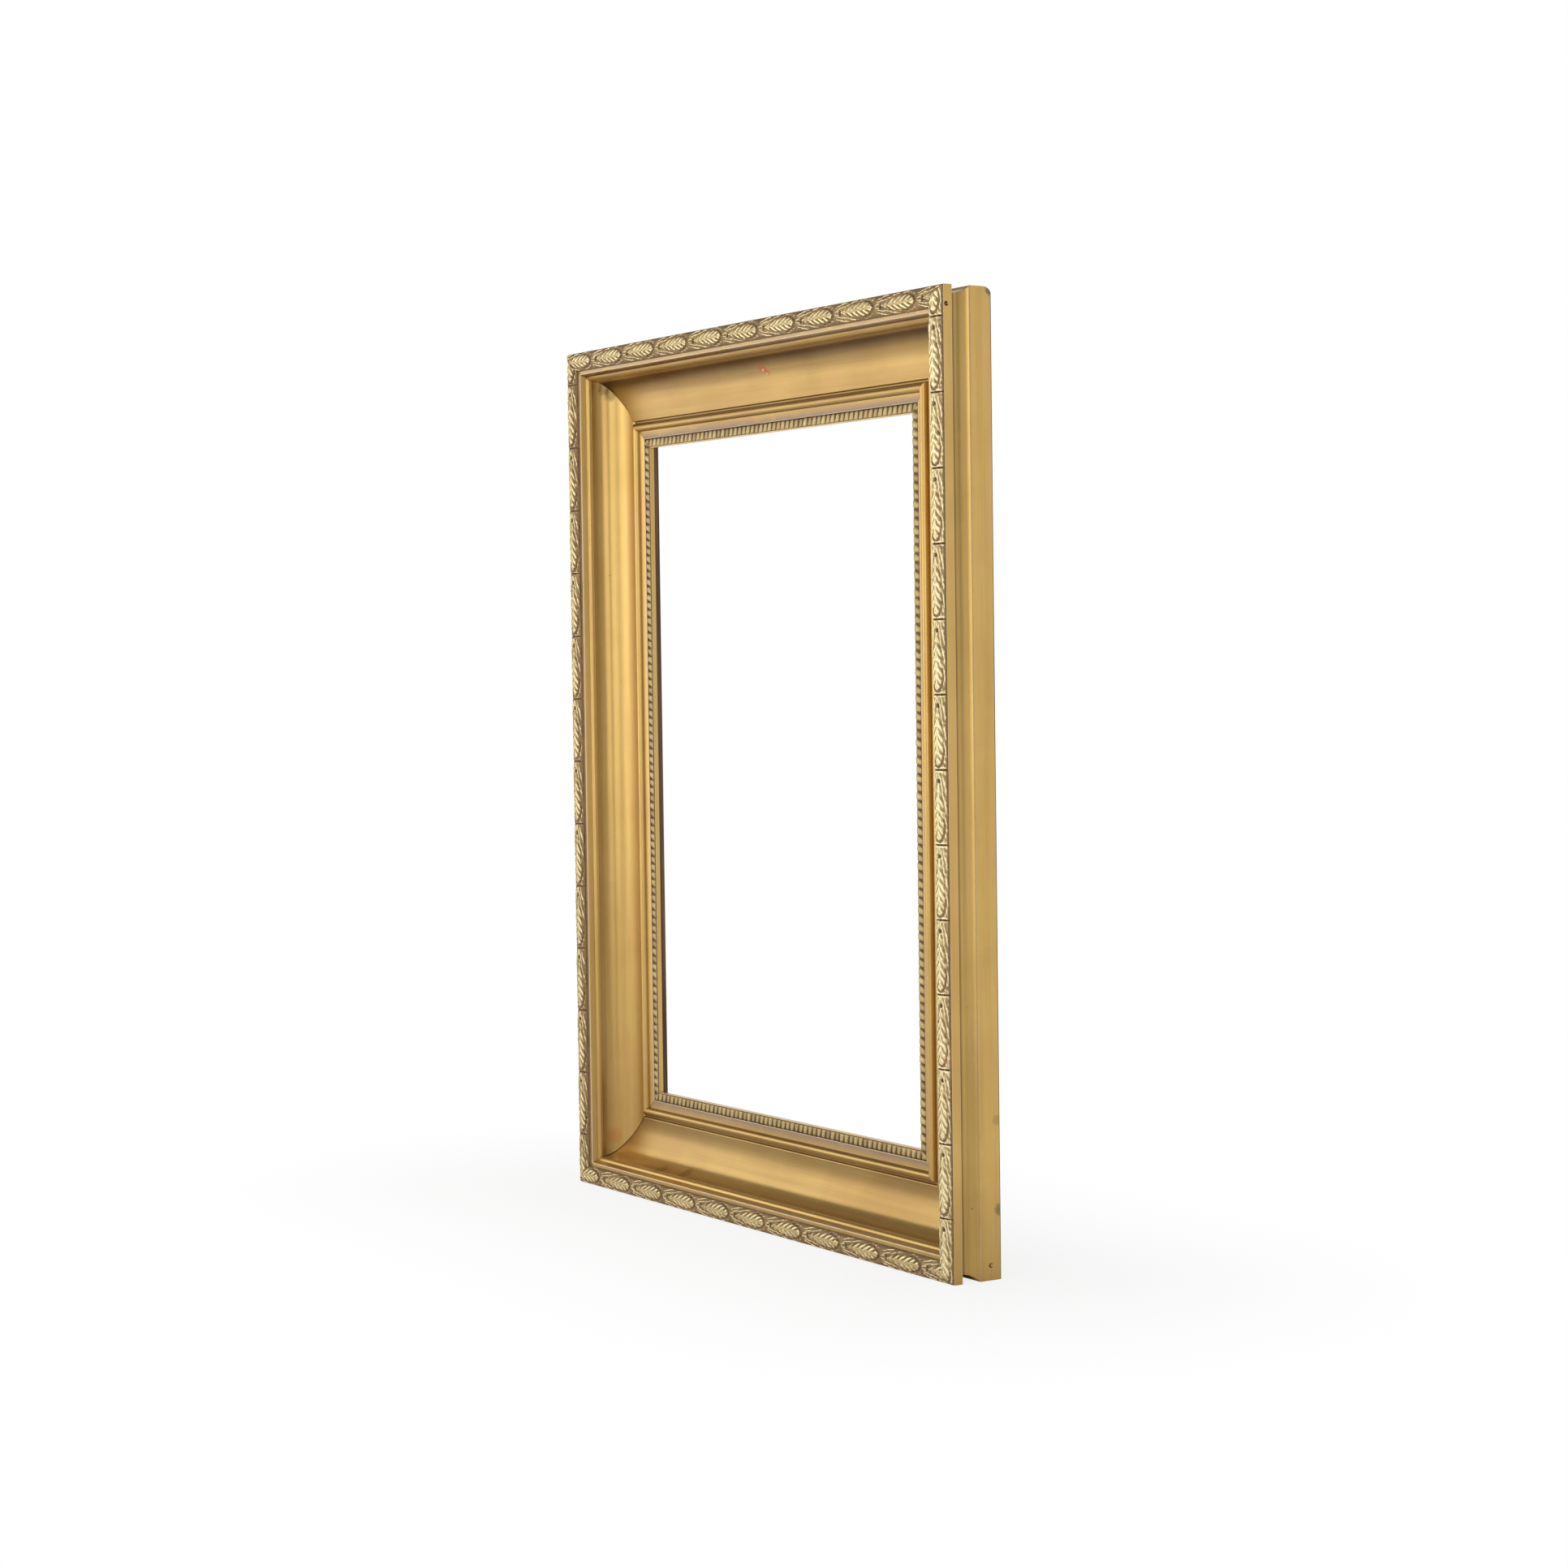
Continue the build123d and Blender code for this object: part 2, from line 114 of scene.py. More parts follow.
class MouldingSizes(bpy.types.PropertyGroup):
    """Section of the four rails."""

    arris_level: length("Front block's arris behind the laurel's crest", 6.2)
    laurel_band: length("Width of the laurel's seat", 20.9)
    seat_fall: length("How far the laurel's seat leans back", 0.4)
    block_side: length("Depth of the front block's side", 10.0)
    listel_width: length("Width of the flat beside the laurel", 3.5)
    listel_drop: length("Depth of the listel under the seat's inner edge", 0.4)
    step_depth: length("Fall from the listel to the lip", 5.6)
    step_lean: length("Slope of the step", 2.6)
    lip_width: length("Width of the lip over the scoop", 4.1)
    lip_fall: length("Fall across the lip", 4.1)
    lip_bulge: length("Roundness of the lip", 1.1)
    neck_inset: length("How far the neck lies in from the side", 7.0)
    neck_length: length("Depth of the neck behind the block", 4.3)
    cavetto_length: length("Depth of the hollow behind the neck", 16.0)
    cavetto_hollow: length("Sagitta of the cavetto", 2.0)
    back_rail_width: length("Width of the back rail", 34.0)
    rear_edge: length("Roundness of the back rail's rear edge", 1.5)
    top_worn: length("Roundness of the top's worn rear edge", 9.0)
    cove_width: length("Width of the scoop", 48.4)
    cove_board: length("Thickness of the board behind the scoop's foot", 8.0)
    cove_radius: length("Radius of the tight hollow under the lip", 22.0)
    channel_depth: length("Depth of the channel in the back", 9.5)
    quirk_width: length("Width of the groove beside the astragal", 2.4)
    quirk_depth: length("Depth of the groove beside the astragal", 2.2)
    astragal_width: length("Width of the half round moulding", 9.2)
    astragal_rise: length("Height of the half round moulding", 5.1)
    frieze_width: length("Width of the flat beside the beads", 8.8)
    frieze_step: length("Fall from the astragal to the frieze", 0.7)
    frieze_fall: length("Fall across the frieze", 1.0)
    bead_band: length("Width of the beads' seat", 9.0)
    bead_drop: length("Fall from the frieze to the beads' seat", 2.0)
    sight_fillet: length("Width of the flat at the sight edge", 1.1)
    sight_rise: length("Height of the sight fillet over the beads' seat", 0.8)
    rebate_width: length("How far the rebate reaches behind the sight edge", 6.5)
    rebate_depth: length("Depth of the rebate", 9.0)
    glue_line: length("Gap between two rails", 0.1)
    mitre_gap: length("Gap between two sides at a mitre", 0.2)
    open_mitre: length("Extra gap where the lower left scoop has shrunk", 0.5)
    edge_ease: length("Roundness of the gilded edges", 0.7)
    wear_reach: length("How far an edge's wear runs over the flats", 1.3)
    cove_turn: FloatProperty(
        description="Angle of the tight hollow under the lip", default=math.radians(58), subtype="ANGLE"
    )


class LaurelSizes(bpy.types.PropertyGroup):
    """Cast laurel run."""

    repeat: length("Length of one cast unit", 70.0)
    margin: length("Bare seat beside the arris", 0.4)
    side_gap: length("Gap beside the listel", 0.1)
    leaf_start: length("Where the middle leaf's point lies in the unit", 11.5)
    leaf_length: length("Length of the middle leaf", 54.5)
    leaf_half: length("Half width of the middle leaf", 7.0)
    leaf_crest: length("Height of the middle leaf over the core", 3.0)
    barb_pitch: length("Distance from one barb to the next", 8.8)
    barb_groove: length("Depth of the grooves between the barbs", 1.6)
    barb_lean: amount("How far a barb runs along the leaf for each step off its middle", 1.45)
    trench_depth: length("Depth of the trench round the leaf's tip", 1.1)
    trench_half: length("Half width of the trench round the leaf's tip", 1.4)
    trench_off: length("How far the trench's middle lies outside the leaf", 1.1)
    drill_depth: length("Depth of the hole drilled at the leaf's foot", 2.2)
    ground: length("Height of the ground over the core", 0.7)
    core: length("Height of the round core that the leaves are cast on", 3.2)
    core_crest: share("How far the core's crest lies off the middle, as a share of the half band", 0.3)
    sway_along: length("How far a cast's relief sways along the side", 0.9)
    sway_across: length("How far a cast's relief sways across the band", 0.4)
    drift: length("How far a cast's relief lies off the middle at most", 0.35)
    rough: length("Unevenness of a cast's surface", 0.25)
    outer_rim: length("Width of the rounded rim beside the arris", 1.2)
    inner_rim: length("Width of the rounded rim beside the listel", 2.2)
    thinnest: length("Least thickness of a cast", 0.15)
    clearance: length("How far the crests stay behind the front of the packed frame", 0.03)
    crack: length("Width of the crack between two units", 0.8)
    grid_step: length("Spacing of the relief's points along the side", 0.58)
    points_across: whole("Points of the relief across the band", 46)
    seed: whole("Seed of the casts' unevenness", 7)


class BeadSizes(bpy.types.PropertyGroup):
    """Cast bead run."""

    pitch: length("Distance from one bead to the next", 8.5)
    height: length("Height of a bead over its seat", 2.4)
    web: length("Height of the strip between two beads", 0.9)
    side_gap: length("Gap on each side of the strip", 0.2)
    slot: share("Width of the slots between the beads, as a share of the pitch", 0.36)
    slant: share("How far a slot leans across the strip, as a share of the pitch", 0.12)
    seed: whole("Seed of the beads' unevenness", 5)
    points_each: whole("Points along one bead", 10)
    points_across: whole("Points across the strip", 7)


class FittingSizes(bpy.types.PropertyGroup):
    """Sunk nail holes."""

    hole_radius: length("Radius of a nail's sunk hole", 2.1)
    hole_depth: length("Depth of a nail's sunk hole", 2.0)
    front_hole: length("Front nail hole's distance from the top", 18.0)
    front_hole_level: length("Front nail hole's distance from the block's rear", 6.5)
    back_hole: length("Back nail hole's distance from the bottom", 14.0)


class GildingColours(bpy.types.PropertyGroup):
    """Colours of the gilding, the ornament and the bare parts."""

    gold: colour("Main tone of the gilding", 0.62, 0.405, 0.125)
    deep: colour("Toned and shaded gilding", 0.40, 0.225, 0.055)
    pale: colour("Rubbed gilding", 0.80, 0.60, 0.27)
    copper: colour("Reddened gilding", 0.60, 0.32, 0.13)
    worn: colour("Greyed gilding on rubbed edges", 0.66, 0.52, 0.33)
    dusty: colour("Greyed gilding of the listel and the frieze", 0.33, 0.225, 0.13)
    # Dark brown of the grime marks and specks, also used to darken hollow corners.
    grime: colour("Dirt in the hollows", 0.075, 0.042, 0.016)
    # Casts: colour follows the relief, lighter on crests and darker in hollows, part rubbed gold and brown patina, part
    # painted highlight and painted shade.
    cast_high: colour("Gilding on the casts' crests", 0.90, 0.77, 0.45)
    cast_mid: colour("Gilding on the casts' flanks", 0.56, 0.43, 0.20)
    cast_ground: colour("Toning on the casts' ground", 0.29, 0.185, 0.085)
    cast_low: colour("Dark toning in the casts' hollows", 0.10, 0.058, 0.022)
    # Brown of the painted shade, and how strong it is under the lip, on the astragal's outer flank and beside it on the
    # frieze.
    toning: colour("Brown glaze under the lip and beside the astragal", 0.09, 0.034, 0.005)
    painted_shade_under_lip: share("How brown the scoop is under the lip", 0.9)
    painted_shade_on_flank: share("How brown the astragal's outer flank is", 0.5)
    painted_shade_by_frieze: share("How brown the frieze is beside the astragal", 0.35)
    bole: colour("Red clay under the gold", 0.52, 0.105, 0.025)
    stain: colour("Greenish stains near the rear edge", 0.15, 0.13, 0.045)
    raw_wood: colour("Bare old wood of the back", 0.24, 0.135, 0.062)
    dark_wood: colour("Dark grain of the back", 0.085, 0.043, 0.02)
    brass: colour("Aged brass of the fittings", 0.48, 0.34, 0.13)
    tarnish: colour("Brown tarnish on the brass", 0.14, 0.09, 0.045)
    iron: colour("Iron of the nails", 0.06, 0.03, 0.02)


class StageSettings(bpy.types.PropertyGroup):
    """Camera, lights and floor."""

    camera_place: FloatVectorProperty(
        description="Camera's place", default=(2.7241, -1.6925, 0.5844), size=3, subtype="TRANSLATION"
    )
    camera_turn: FloatVectorProperty(
        description="Camera's angles about X, Y and Z",
        default=(math.radians(87.75), math.radians(0.769), math.radians(57.78)),
        size=3,
        subtype="EULER",
    )
    lens: amount("Focal length on a 36 mm sensor", 71.43, "CAMERA")
    key_power: amount("Power of the large soft light in front, on the left", 16.5, "POWER")
    fill_power: amount("Power of the weak light on the left", 12.5, "POWER")
    front_power: amount("Power of the soft light in front", 10.0, "POWER")
    side_power: amount("Power of the soft light in front, on the right", 16.0, "POWER")
    right_power: amount("Power of the weak light on the right", 4.4, "POWER")
    sky: amount("Strength of the even light all round", 0.6)
    room: amount("Strength of the dim room that the gilding mirrors in front", 0.15)
    floor: colour("Pale floor", 0.86, 0.855, 0.85)
    floor_half: amount("Half width of the floor", 12.0, "LENGTH")


def sizes(group):
    """Property group of one kind on the scene."""
    return getattr(bpy.context.scene, "gilded_frame_" + group)


def section_lines():
    """Levels behind the crest and insets from the outer edge, added up from the moulding's sizes."""
    m = sizes("moulding")
    s = SimpleNamespace()
    s.block_rear = m.arris_level + m.block_side
    s.neck_end = s.block_rear + m.neck_length
    s.seam = s.neck_end + m.cavetto_length
    s.seat = m.arris_level + m.seat_fall
    s.listel = s.seat + m.listel_drop
    s.step = s.listel + m.step_depth
    s.lip = s.step + m.lip_fall
    s.channel = DEPTH - m.channel_depth
    s.cove_foot = s.channel - m.cove_board
    s.quirk = s.cove_foot + m.quirk_depth
    s.frieze = s.cove_foot + m.frieze_step
    s.bead_top = s.frieze + m.frieze_fall
    s.bead_seat = s.bead_top + m.bead_drop
    s.sight = s.bead_seat - m.sight_rise
    s.rebate = DEPTH - m.rebate_depth
    s.listel_inset = m.laurel_band + m.listel_width
    s.step_inset = s.listel_inset + m.step_lean
    s.lip_inset = s.step_inset + m.lip_width
    s.cove_inset = s.lip_inset + m.cove_width
    s.astragal_inset = s.cove_inset + m.quirk_width
    s.frieze_inset = s.astragal_inset + m.astragal_width
    s.bead_inset = s.frieze_inset + m.frieze_width
    s.fillet_inset = s.bead_inset + m.bead_band
    s.width = s.fillet_inset + m.sight_fillet
    s.rebate_inset = s.width - m.rebate_width
    s.cant = math.atan2(m.seat_fall, m.laurel_band)
    return s


def half_length(side):
    """Half of a side's outer length."""
    return (OUTER_WIDTH if side in ("top", "bottom") else OUTER_HEIGHT) / 2


def place(side, inset, level, along):
    """Points of a side in the frame: its outer edge's middle plus inset inward, level back and along the side."""
    middle = OUTER_HEIGHT / 2
    origin, inward, run = {
        "top": ((0, FRONT, OUTER_HEIGHT), (0, 0, -1), (1, 0, 0)),
        "bottom": ((0, FRONT, 0), (0, 0, 1), (-1, 0, 0)),
        "left": ((-OUTER_WIDTH / 2, FRONT, middle), (1, 0, 0), (0, 0, 1)),
        "right": ((OUTER_WIDTH / 2, FRONT, middle), (-1, 0, 0), (0, 0, -1)),
    }[side]
    parts = np.stack(np.broadcast_arrays(inset, level, along), axis=-1)
    return np.array(origin) + parts @ np.array([inward, (0, 1, 0), run], float)


def arc(start, end, sagitta, count=14):
    """Points of a circular arc from start to end: chord point plus the offset of a circle with that sagitta."""
    start, end = np.array(start), np.array(end)
    half = np.linalg.norm(end - start) / 2
    radius = (half**2 + sagitta**2) / (2 * abs(sagitta))
    reach = math.asin(half / radius)
    angle = np.linspace(-reach, reach, count)[:, None]
    chord = (end - start) / (2 * half)
    side = np.array([-chord[1], chord[0]]) * math.copysign(1, sagitta)
    middle = (start + end) / 2
    return middle + chord * radius * np.sin(angle) + side * radius * (np.cos(angle) - math.cos(reach))


def turn(start, heading, radius, angle, count=16):
    """Points of an arc that leaves start along heading and turns left by the angle, in radians."""
    heading = np.array(heading, float)
    left = np.array([-heading[1], heading[0]])
    sweep = np.linspace(0, angle, count)[:, None]
    bend = math.copysign(1, angle)
    return np.array(start) + radius * (heading * np.sin(abs(sweep)) + bend * left * (1 - np.cos(sweep)))


def outline(*items, ease=None):
    """Closed section through corners (inset, level) and runs of points, with the corners eased.

    A corner P with neighbours A and B becomes (1-s)^2 (P + t a) + 2 s (1-s) P + s^2 (P + t b), where a and b point
    to the neighbours and t is the ease. Each point has an edge value: 1 on a convex corner, -1 in a hollow one and
    0 on flats and runs.
    """
    m = sizes("moulding")
    ease = m.edge_ease if ease is None else ease
    runs = [np.atleast_2d(np.array(item, float)) for item in items]
    rough = np.concatenate(runs)
    ahead = np.roll(rough, -1, axis=0)
    spin = np.sign(np.sum(rough[:, 0] * ahead[:, 1] - rough[:, 1] * ahead[:, 0]))
    step = np.linspace(0, 1, 5)[:, None]
    points, edges = [], []
    for number, run in enumerate(runs):
        if len(run) > 1:
            points.append(run)
            edges.append(np.zeros(len(run)))
            continue
        corner = run[0]
        back = runs[number - 1][-1] - corner
        on = runs[(number + 1) % len(runs)][0] - corner
        back_length, on_length = np.linalg.norm(back), np.linalg.norm(on)
        back, on = back / back_length, on / on_length
        reach = min(ease, 0.35 * back_length, 0.35 * on_length)
        wear = min(reach + m.wear_reach, 0.48 * back_length, 0.48 * on_length)
        first, last = corner + reach * back, corner + reach * on
        curve = (1 - step) ** 2 * first + 2 * step * (1 - step) * corner + step**2 * last
        points.append(np.concatenate([[corner + wear * back], curve, [corner + wear * on]]))
        bend = back[0] * on[1] - back[1] * on[0]
        value = -np.sign(bend) * spin * min(1.0, abs(bend) * 1.5)
        edges.append(value * np.array([0, 0.6, 0.95, 1, 0.95, 0.6, 0]))
    return np.concatenate(points), np.concatenate(edges)


def bell(values, width):
    """Bell curve exp(-(v / width)^2)."""
    return np.exp(-((values / width) ** 2))


def outer_face(rear, front, points):
    """Run of points down the outer face, close enough together for a nail hole."""
    return np.column_stack([np.zeros(points), np.linspace(rear, front, points)])


def behind(section, level):
    """Stretches of a section, from each point to the next, that lie wholly behind a level."""
    levels = section[0][:, 1]
    return np.minimum(levels, np.roll(levels, -1)) > level


def fade(values, full, none):
    """1 up to full, falling smoothly to 0 at none."""
    t = np.clip((none - values) / (none - full), 0, 1)
    return t * t * (3 - 2 * t)


def solid(name, points, quads, caps=()):
    """Mesh object from points, quads and end polygons, turned outwards by the sign of its volume."""
    corners = points[quads]
    volume = np.einsum("ij,ij->", corners[:, 0], np.cross(corners[:, 1], corners[:, 2]))
    volume += np.einsum("ij,ij->", corners[:, 0], np.cross(corners[:, 2], corners[:, 3]))
    for cap in caps:
        fan = points[cap]
        volume += np.einsum("ij,ij->", np.broadcast_to(fan[0], fan[1:-1].shape), np.cross(fan[1:-1], fan[2:]))
    flip = -1 if volume < 0 else 1
    loops = np.concatenate([quads[:, ::flip].ravel()] + [np.asarray(cap)[::flip] for cap in caps])
    totals = np.concatenate([np.full(len(quads), 4), [len(cap) for cap in caps]]).astype(int)
    mesh = bpy.data.meshes.new(name)
    mesh.vertices.add(len(points))
    mesh.vertices.foreach_set("co", points.astype(np.float32).ravel())
    mesh.loops.add(len(loops))
    mesh.loops.foreach_set("vertex_index", loops.astype(np.int32))
    mesh.polygons.add(len(totals))
    mesh.polygons.foreach_set("loop_start", np.concatenate([[0], np.cumsum(totals)[:-1]]).astype(np.int32))
    mesh.polygons.foreach_set("use_smooth", np.arange(len(totals)) < len(quads))
    mesh.update(calc_edges=True)
    piece = bpy.data.objects.new(name, mesh)
    bpy.context.scene.collection.objects.link(piece)
    return piece


def tube(name, grid):
    """Closed tube from a grid of points (station, point of the section, axis), with flat ends."""
    numbers = np.arange(grid.shape[0] * grid.shape[1]).reshape(grid.shape[:2])
    following = np.roll(numbers, -1, axis=1)
    quads = np.stack([numbers[:-1], following[:-1], following[1:], numbers[1:]], axis=-1).reshape(-1, 4)
    return solid(name, grid.reshape(-1, 3), quads, (numbers[0, ::-1], numbers[-1]))


def note(piece, name, values):
    """Store one number for each point as an attribute that the materials read."""
    layer = piece.data.attributes.new(name, "FLOAT", "POINT")
    layer.data.foreach_set("value", np.asarray(values, np.float32).ravel())


def note_run(piece, along, inset, level):
    """Store each point's place in its side (along, inset, level), which grain and streaks follow."""
    layer = piece.data.attributes.new("run", "FLOAT_VECTOR", "POINT")
    run = np.stack(np.broadcast_arrays(along, inset, level), axis=-1)
    layer.data.foreach_set("vector", run.astype(np.float32).ravel())


def seat_on(piece, node, slot, *materials):
    """Let a piece ride on the frame's body and stand for a node, with its materials; its slot is not used."""
    for material in materials:
        piece.data.materials.append(material)
    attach(piece, BODY)
    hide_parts(node)


def rail(side, kind, section, bare=False, toning=0.0, dust=0.0, holes=(), gaps=(0.0, 0.0), worn=0.0):
    """Mitred rail: section (inset, level) carried to along = t (half - gap - inset), t from -1 to 1.

    A nail hole moves the points of the outer face in by its depth where they lie within its radius. Bare stretches of
    the section show wood. Painted shade is the brown at each point of the section, where shade falls, and dust how
    grey it is. A station close to each end keeps the shading of the cut ends off the faces.

    Worn is the radius r of the top's rounded rear edge, which drops by r - (r^2 - (level - depth + r)^2)^0.5. The
    upright sides end on that round, and a last row of points fills them up to the mitre.
    """
    m, f = sizes("moulding"), sizes("fitting")
    points, edges = section
    reach = half_length(side)
    step = [np.linspace(-1, 1, STATIONS), [-LAST_STATION, LAST_STATION]]
    step += [(middle + np.linspace(-1, 1, HOLE_STATIONS) * 2 * f.hole_radius) / reach for middle, _ in holes]
    step = np.unique(np.concatenate(step).clip(-1, 1))[:, None]
    inset, level = points[None, :, 0], points[None, :, 1]
    gap = np.where(step < 0, gaps[0], gaps[1]) + m.mitre_gap / math.sqrt(2)
    top_end = {"left": 1, "right": -1}.get(side, 0)
    drop = worn - np.sqrt(worn**2 - np.clip(level - DEPTH + worn, 0, worn) ** 2)
    along = step * (reach - gap - np.where(step * top_end > 0, np.maximum(inset, drop), inset))
    inset, level, along = np.broadcast_arrays(inset, level, along)
    for hole_along, hole_level in holes:
        distance = np.hypot(along - hole_along, level - hole_level)
        sink = np.clip((f.hole_radius - distance) / (0.25 * f.hole_radius) + 0.5, 0, 1)
        inset = inset + f.hole_depth * np.where(inset < f.hole_depth, sink * sink * (3 - 2 * sink), 0)
    if worn and top_end:
        row, end = (len(along), -1) if top_end > 0 else (0, 0)
        along = np.insert(along, row, along[end] * (1 + 0.1 * m.mitre_gap / reach), axis=0)
        inset = np.insert(inset, row, np.maximum(inset[end], drop[0]), axis=0)
        level = np.insert(level, row, level[end], axis=0)
    piece = tube(f"{kind}_{side}_gilt", place(side, inset, level, along))
    for name, values in (("edge", edges), ("toning", toning), ("dust", dust)):
        note(piece, name, np.broadcast_to(values, along.shape))
    note_run(piece, along, inset, level)
    finish = np.zeros(len(piece.data.polygons), np.int32)
    finish[: (len(along) - 1) * len(points)] = np.tile(np.broadcast_to(bare, len(points)), len(along) - 1)
    piece.data.polygons.foreach_set("material_index", finish)
    seat_on(piece, f"{kind}_{side}", "gilt_wood", gilding(), bare_wood())


def cast_run(side, kind, inset, level, along, relief, cavity):
    """Cast strip of one side from its points, with the relief and hollows that its material reads."""
    piece = tube(f"{kind}_{side}_casts", place(side, inset, level, along))
    note(piece, "relief", relief)
    note(piece, "cavity", cavity)
    seat_on(piece, f"{kind}_{side}", "gilt_composition", cast_gilding())


# Blades beside the leaf, in millimetres: start and end, each along and off the middle, then half width and height.
BLADES = (
    (0.5, 0.6, 10.0, 2.4, 1.1, 2.7),
    (2.0, 2.6, 21.0, 6.3, 1.0, 2.55),
    (0.5, 4.8, 18.0, 8.6, 0.9, 2.175),
    (13.0, 3.6, 31.0, 7.7, 0.8, 2.175),
    (24.0, 7.0, 39.0, 9.0, 0.7, 1.725),
    (37.0, 7.0, 55.0, 8.9, 0.8, 1.725),
    (50.0, 6.6, 66.0, 8.8, 0.8, 1.5),
    (61.0, 5.4, 70.0, 7.4, 0.8, 1.65),
    (8.0, 7.8, 26.0, 9.7, 0.8, 2.025),
    (27.0, 8.4, 45.0, 9.8, 0.7, 1.875),
    (44.0, 8.5, 62.0, 9.8, 0.7, 1.725),
)


def blade_height(t, side):
    """Height of the blades: the highest of their ridges.

    A ridge from A to B has the height h (1 - (d / w)^2) k^0.5, where d is the distance from the line AB, w its half
    width and k = 4 f (1 - f) at the share f of the way along it.
    """
    height = np.zeros(np.broadcast(t, side).shape)
    for start, start_off, end, end_off, half, high in np.array(BLADES) * MM:
        run, rise = end - start, end_off - start_off
        reach = math.hypot(run, rise)
        share_along = ((t - start) * run + (side - start_off) * rise) / reach**2
        across = ((side - start_off) * run - (t - start) * rise) / reach
        taper = np.clip(4 * share_along * (1 - share_along), 0, 1) ** 0.5
        height = np.maximum(height, high * np.clip(1 - (across / half) ** 2, 0, 1) * taper)
    return height


def laurel_core(x, half_band):
    """Height of the round core at x from the band's middle: two quarter ellipses that meet nearer the listel."""
    z = sizes("laurel")
    crest = z.core_crest * half_band
    off = (x - crest) / np.where(x > crest, half_band - crest, half_band + crest)
    return z.core * np.sqrt(np.clip(1 - off**2, 0, 1))


def laurel_height(t, x, half_band, unit):
    """Height of the cast laurel over its seat at t along a unit and x from the band's middle.

    The ground is a low crown with blades on it. The middle leaf is a lens with a pointed foot and a blunt tip: its two
    halves rise from a sunk midrib, and a groove parts two barbs where the phase (t - k x) / pitch is whole. A trench
    runs round its tip, and a hole is drilled at its foot. All of it stands on the core.
    """
    z = sizes("laurel")
    side = np.abs(x)
    height = np.maximum(z.ground + 0.5 * MM * (1 - (x / half_band) ** 2), blade_height(t, side) * unit)

    belly = 0.62 * z.leaf_length
    nose = z.leaf_length - belly
    middle = z.leaf_start + belly
    foot = np.sin(0.5 * np.pi * np.clip((t - z.leaf_start) / belly, 0, 1))
    beyond = np.clip((t - middle) / nose, 0, 1)
    width = z.leaf_half * np.where(t < middle, foot**0.7, np.clip(1 - beyond**2.6, 0, 1) ** 0.5)
    off = side / (width + 0.001 * MM)
    arch = np.where(t < middle, 0.62 + 0.38 * foot, 1 - 0.3 * beyond**2)
    fold = 1 - 0.16 * bell(off, 0.16)
    dome = z.leaf_crest * unit * arch * fold * (0.4 + 0.6 * np.clip(1 - off**2.6, 0, 1) ** 0.6)
    phase = (t - z.leaf_start - z.barb_lean * side) / z.barb_pitch
    groove = (1 - np.abs(np.sin(np.pi * phase))) ** 1.2
    dome = dome - z.barb_groove * groove * np.clip((side - 0.5 * MM) / (1.4 * MM), 0, 1)
    on_leaf = (off < 1) & (t > z.leaf_start) & (t < z.leaf_start + z.leaf_length)

    radius = np.hypot((t - middle) / nose, x / z.leaf_half)
    slope = np.hypot((t - middle) / nose**2, x / z.leaf_half**2) + 1e-9
    outside = (radius - 1) * radius / slope
    tip = np.clip((t - middle + 4 * MM) / (10 * MM), 0, 1)
    trench = bell(outside - z.trench_off, z.trench_half)
    height = height - tip * (z.trench_depth + 0.5 * MM * x / half_band) * trench
    height = np.where(on_leaf, np.maximum(dome, 0.4 * MM), height)
    hole = ((t - z.leaf_start + 1.2 * MM) / (1.6 * MM)) ** 4 + (x / (1.9 * MM)) ** 4
    return height - z.drill_depth * np.exp(-hole) + laurel_core(x, half_band)


def smooth(values, reach):
    """Mean of a grid over a square of points, taken along both axes in turn."""
    for axis, length_along in enumerate(values.shape):
        pad = [(reach, reach) if a == axis else (0, 0) for a in (0, 1)]
        wide = np.pad(values, pad, mode="edge")
        shifts = [np.take(wide, range(k, k + length_along), axis) for k in range(2 * reach + 1)]
        values = np.mean(shifts, axis=0)
    return values


def rounded_noise(along, across, seed):
    """Smooth unevenness from -1 to 1: the mean of five sine waves with seeded lengths and phases."""
    random = np.random.default_rng(seed)
    waves = random.uniform(0.4, 2.2, (5, 2)) / (10 * MM)
    phases = random.uniform(0, 2 * np.pi, 5)
    total = sum(np.sin(2 * np.pi * (w[0] * along + w[1] * across) + p) for w, p in zip(waves, phases))
    return total / 5


class Value:
    """Socket in a material's tree. Arithmetic on it adds Math nodes."""

    def __init__(self, finish, socket):
        self.finish = finish
        self.socket = socket

    def math(self, operation, *others):
        """Math node on this value and up to two more."""
        return self.finish.node("ShaderNodeMath", {"operation": operation}, dict(enumerate((self, *others))))

    def __add__(self, other):
        return self.math("ADD", other)

    def __sub__(self, other):
        return self.math("SUBTRACT", other)

    def __mul__(self, other):
        return self.math("MULTIPLY", other)

    def __rsub__(self, other):
        return self.finish.node("ShaderNodeMath", {"operation": "SUBTRACT"}, {0: other, 1: self})

    __radd__ = __add__

    def least(self, other):
        """Smaller of two values."""
        return self.math("MINIMUM", other)

    def most(self, other):
        """Larger of two values."""
        return self.math("MAXIMUM", other)

    def size(self):
        """Value without its sign."""
        return self.math("ABSOLUTE")

    def rise(self, low, high):
        """Smooth step from 0 at low to 1 at high."""
        span = {"Value": self, "From Min": low, "From Max": high}
        return self.finish.node("ShaderNodeMapRange", {"interpolation_type": "SMOOTHSTEP"}, span)


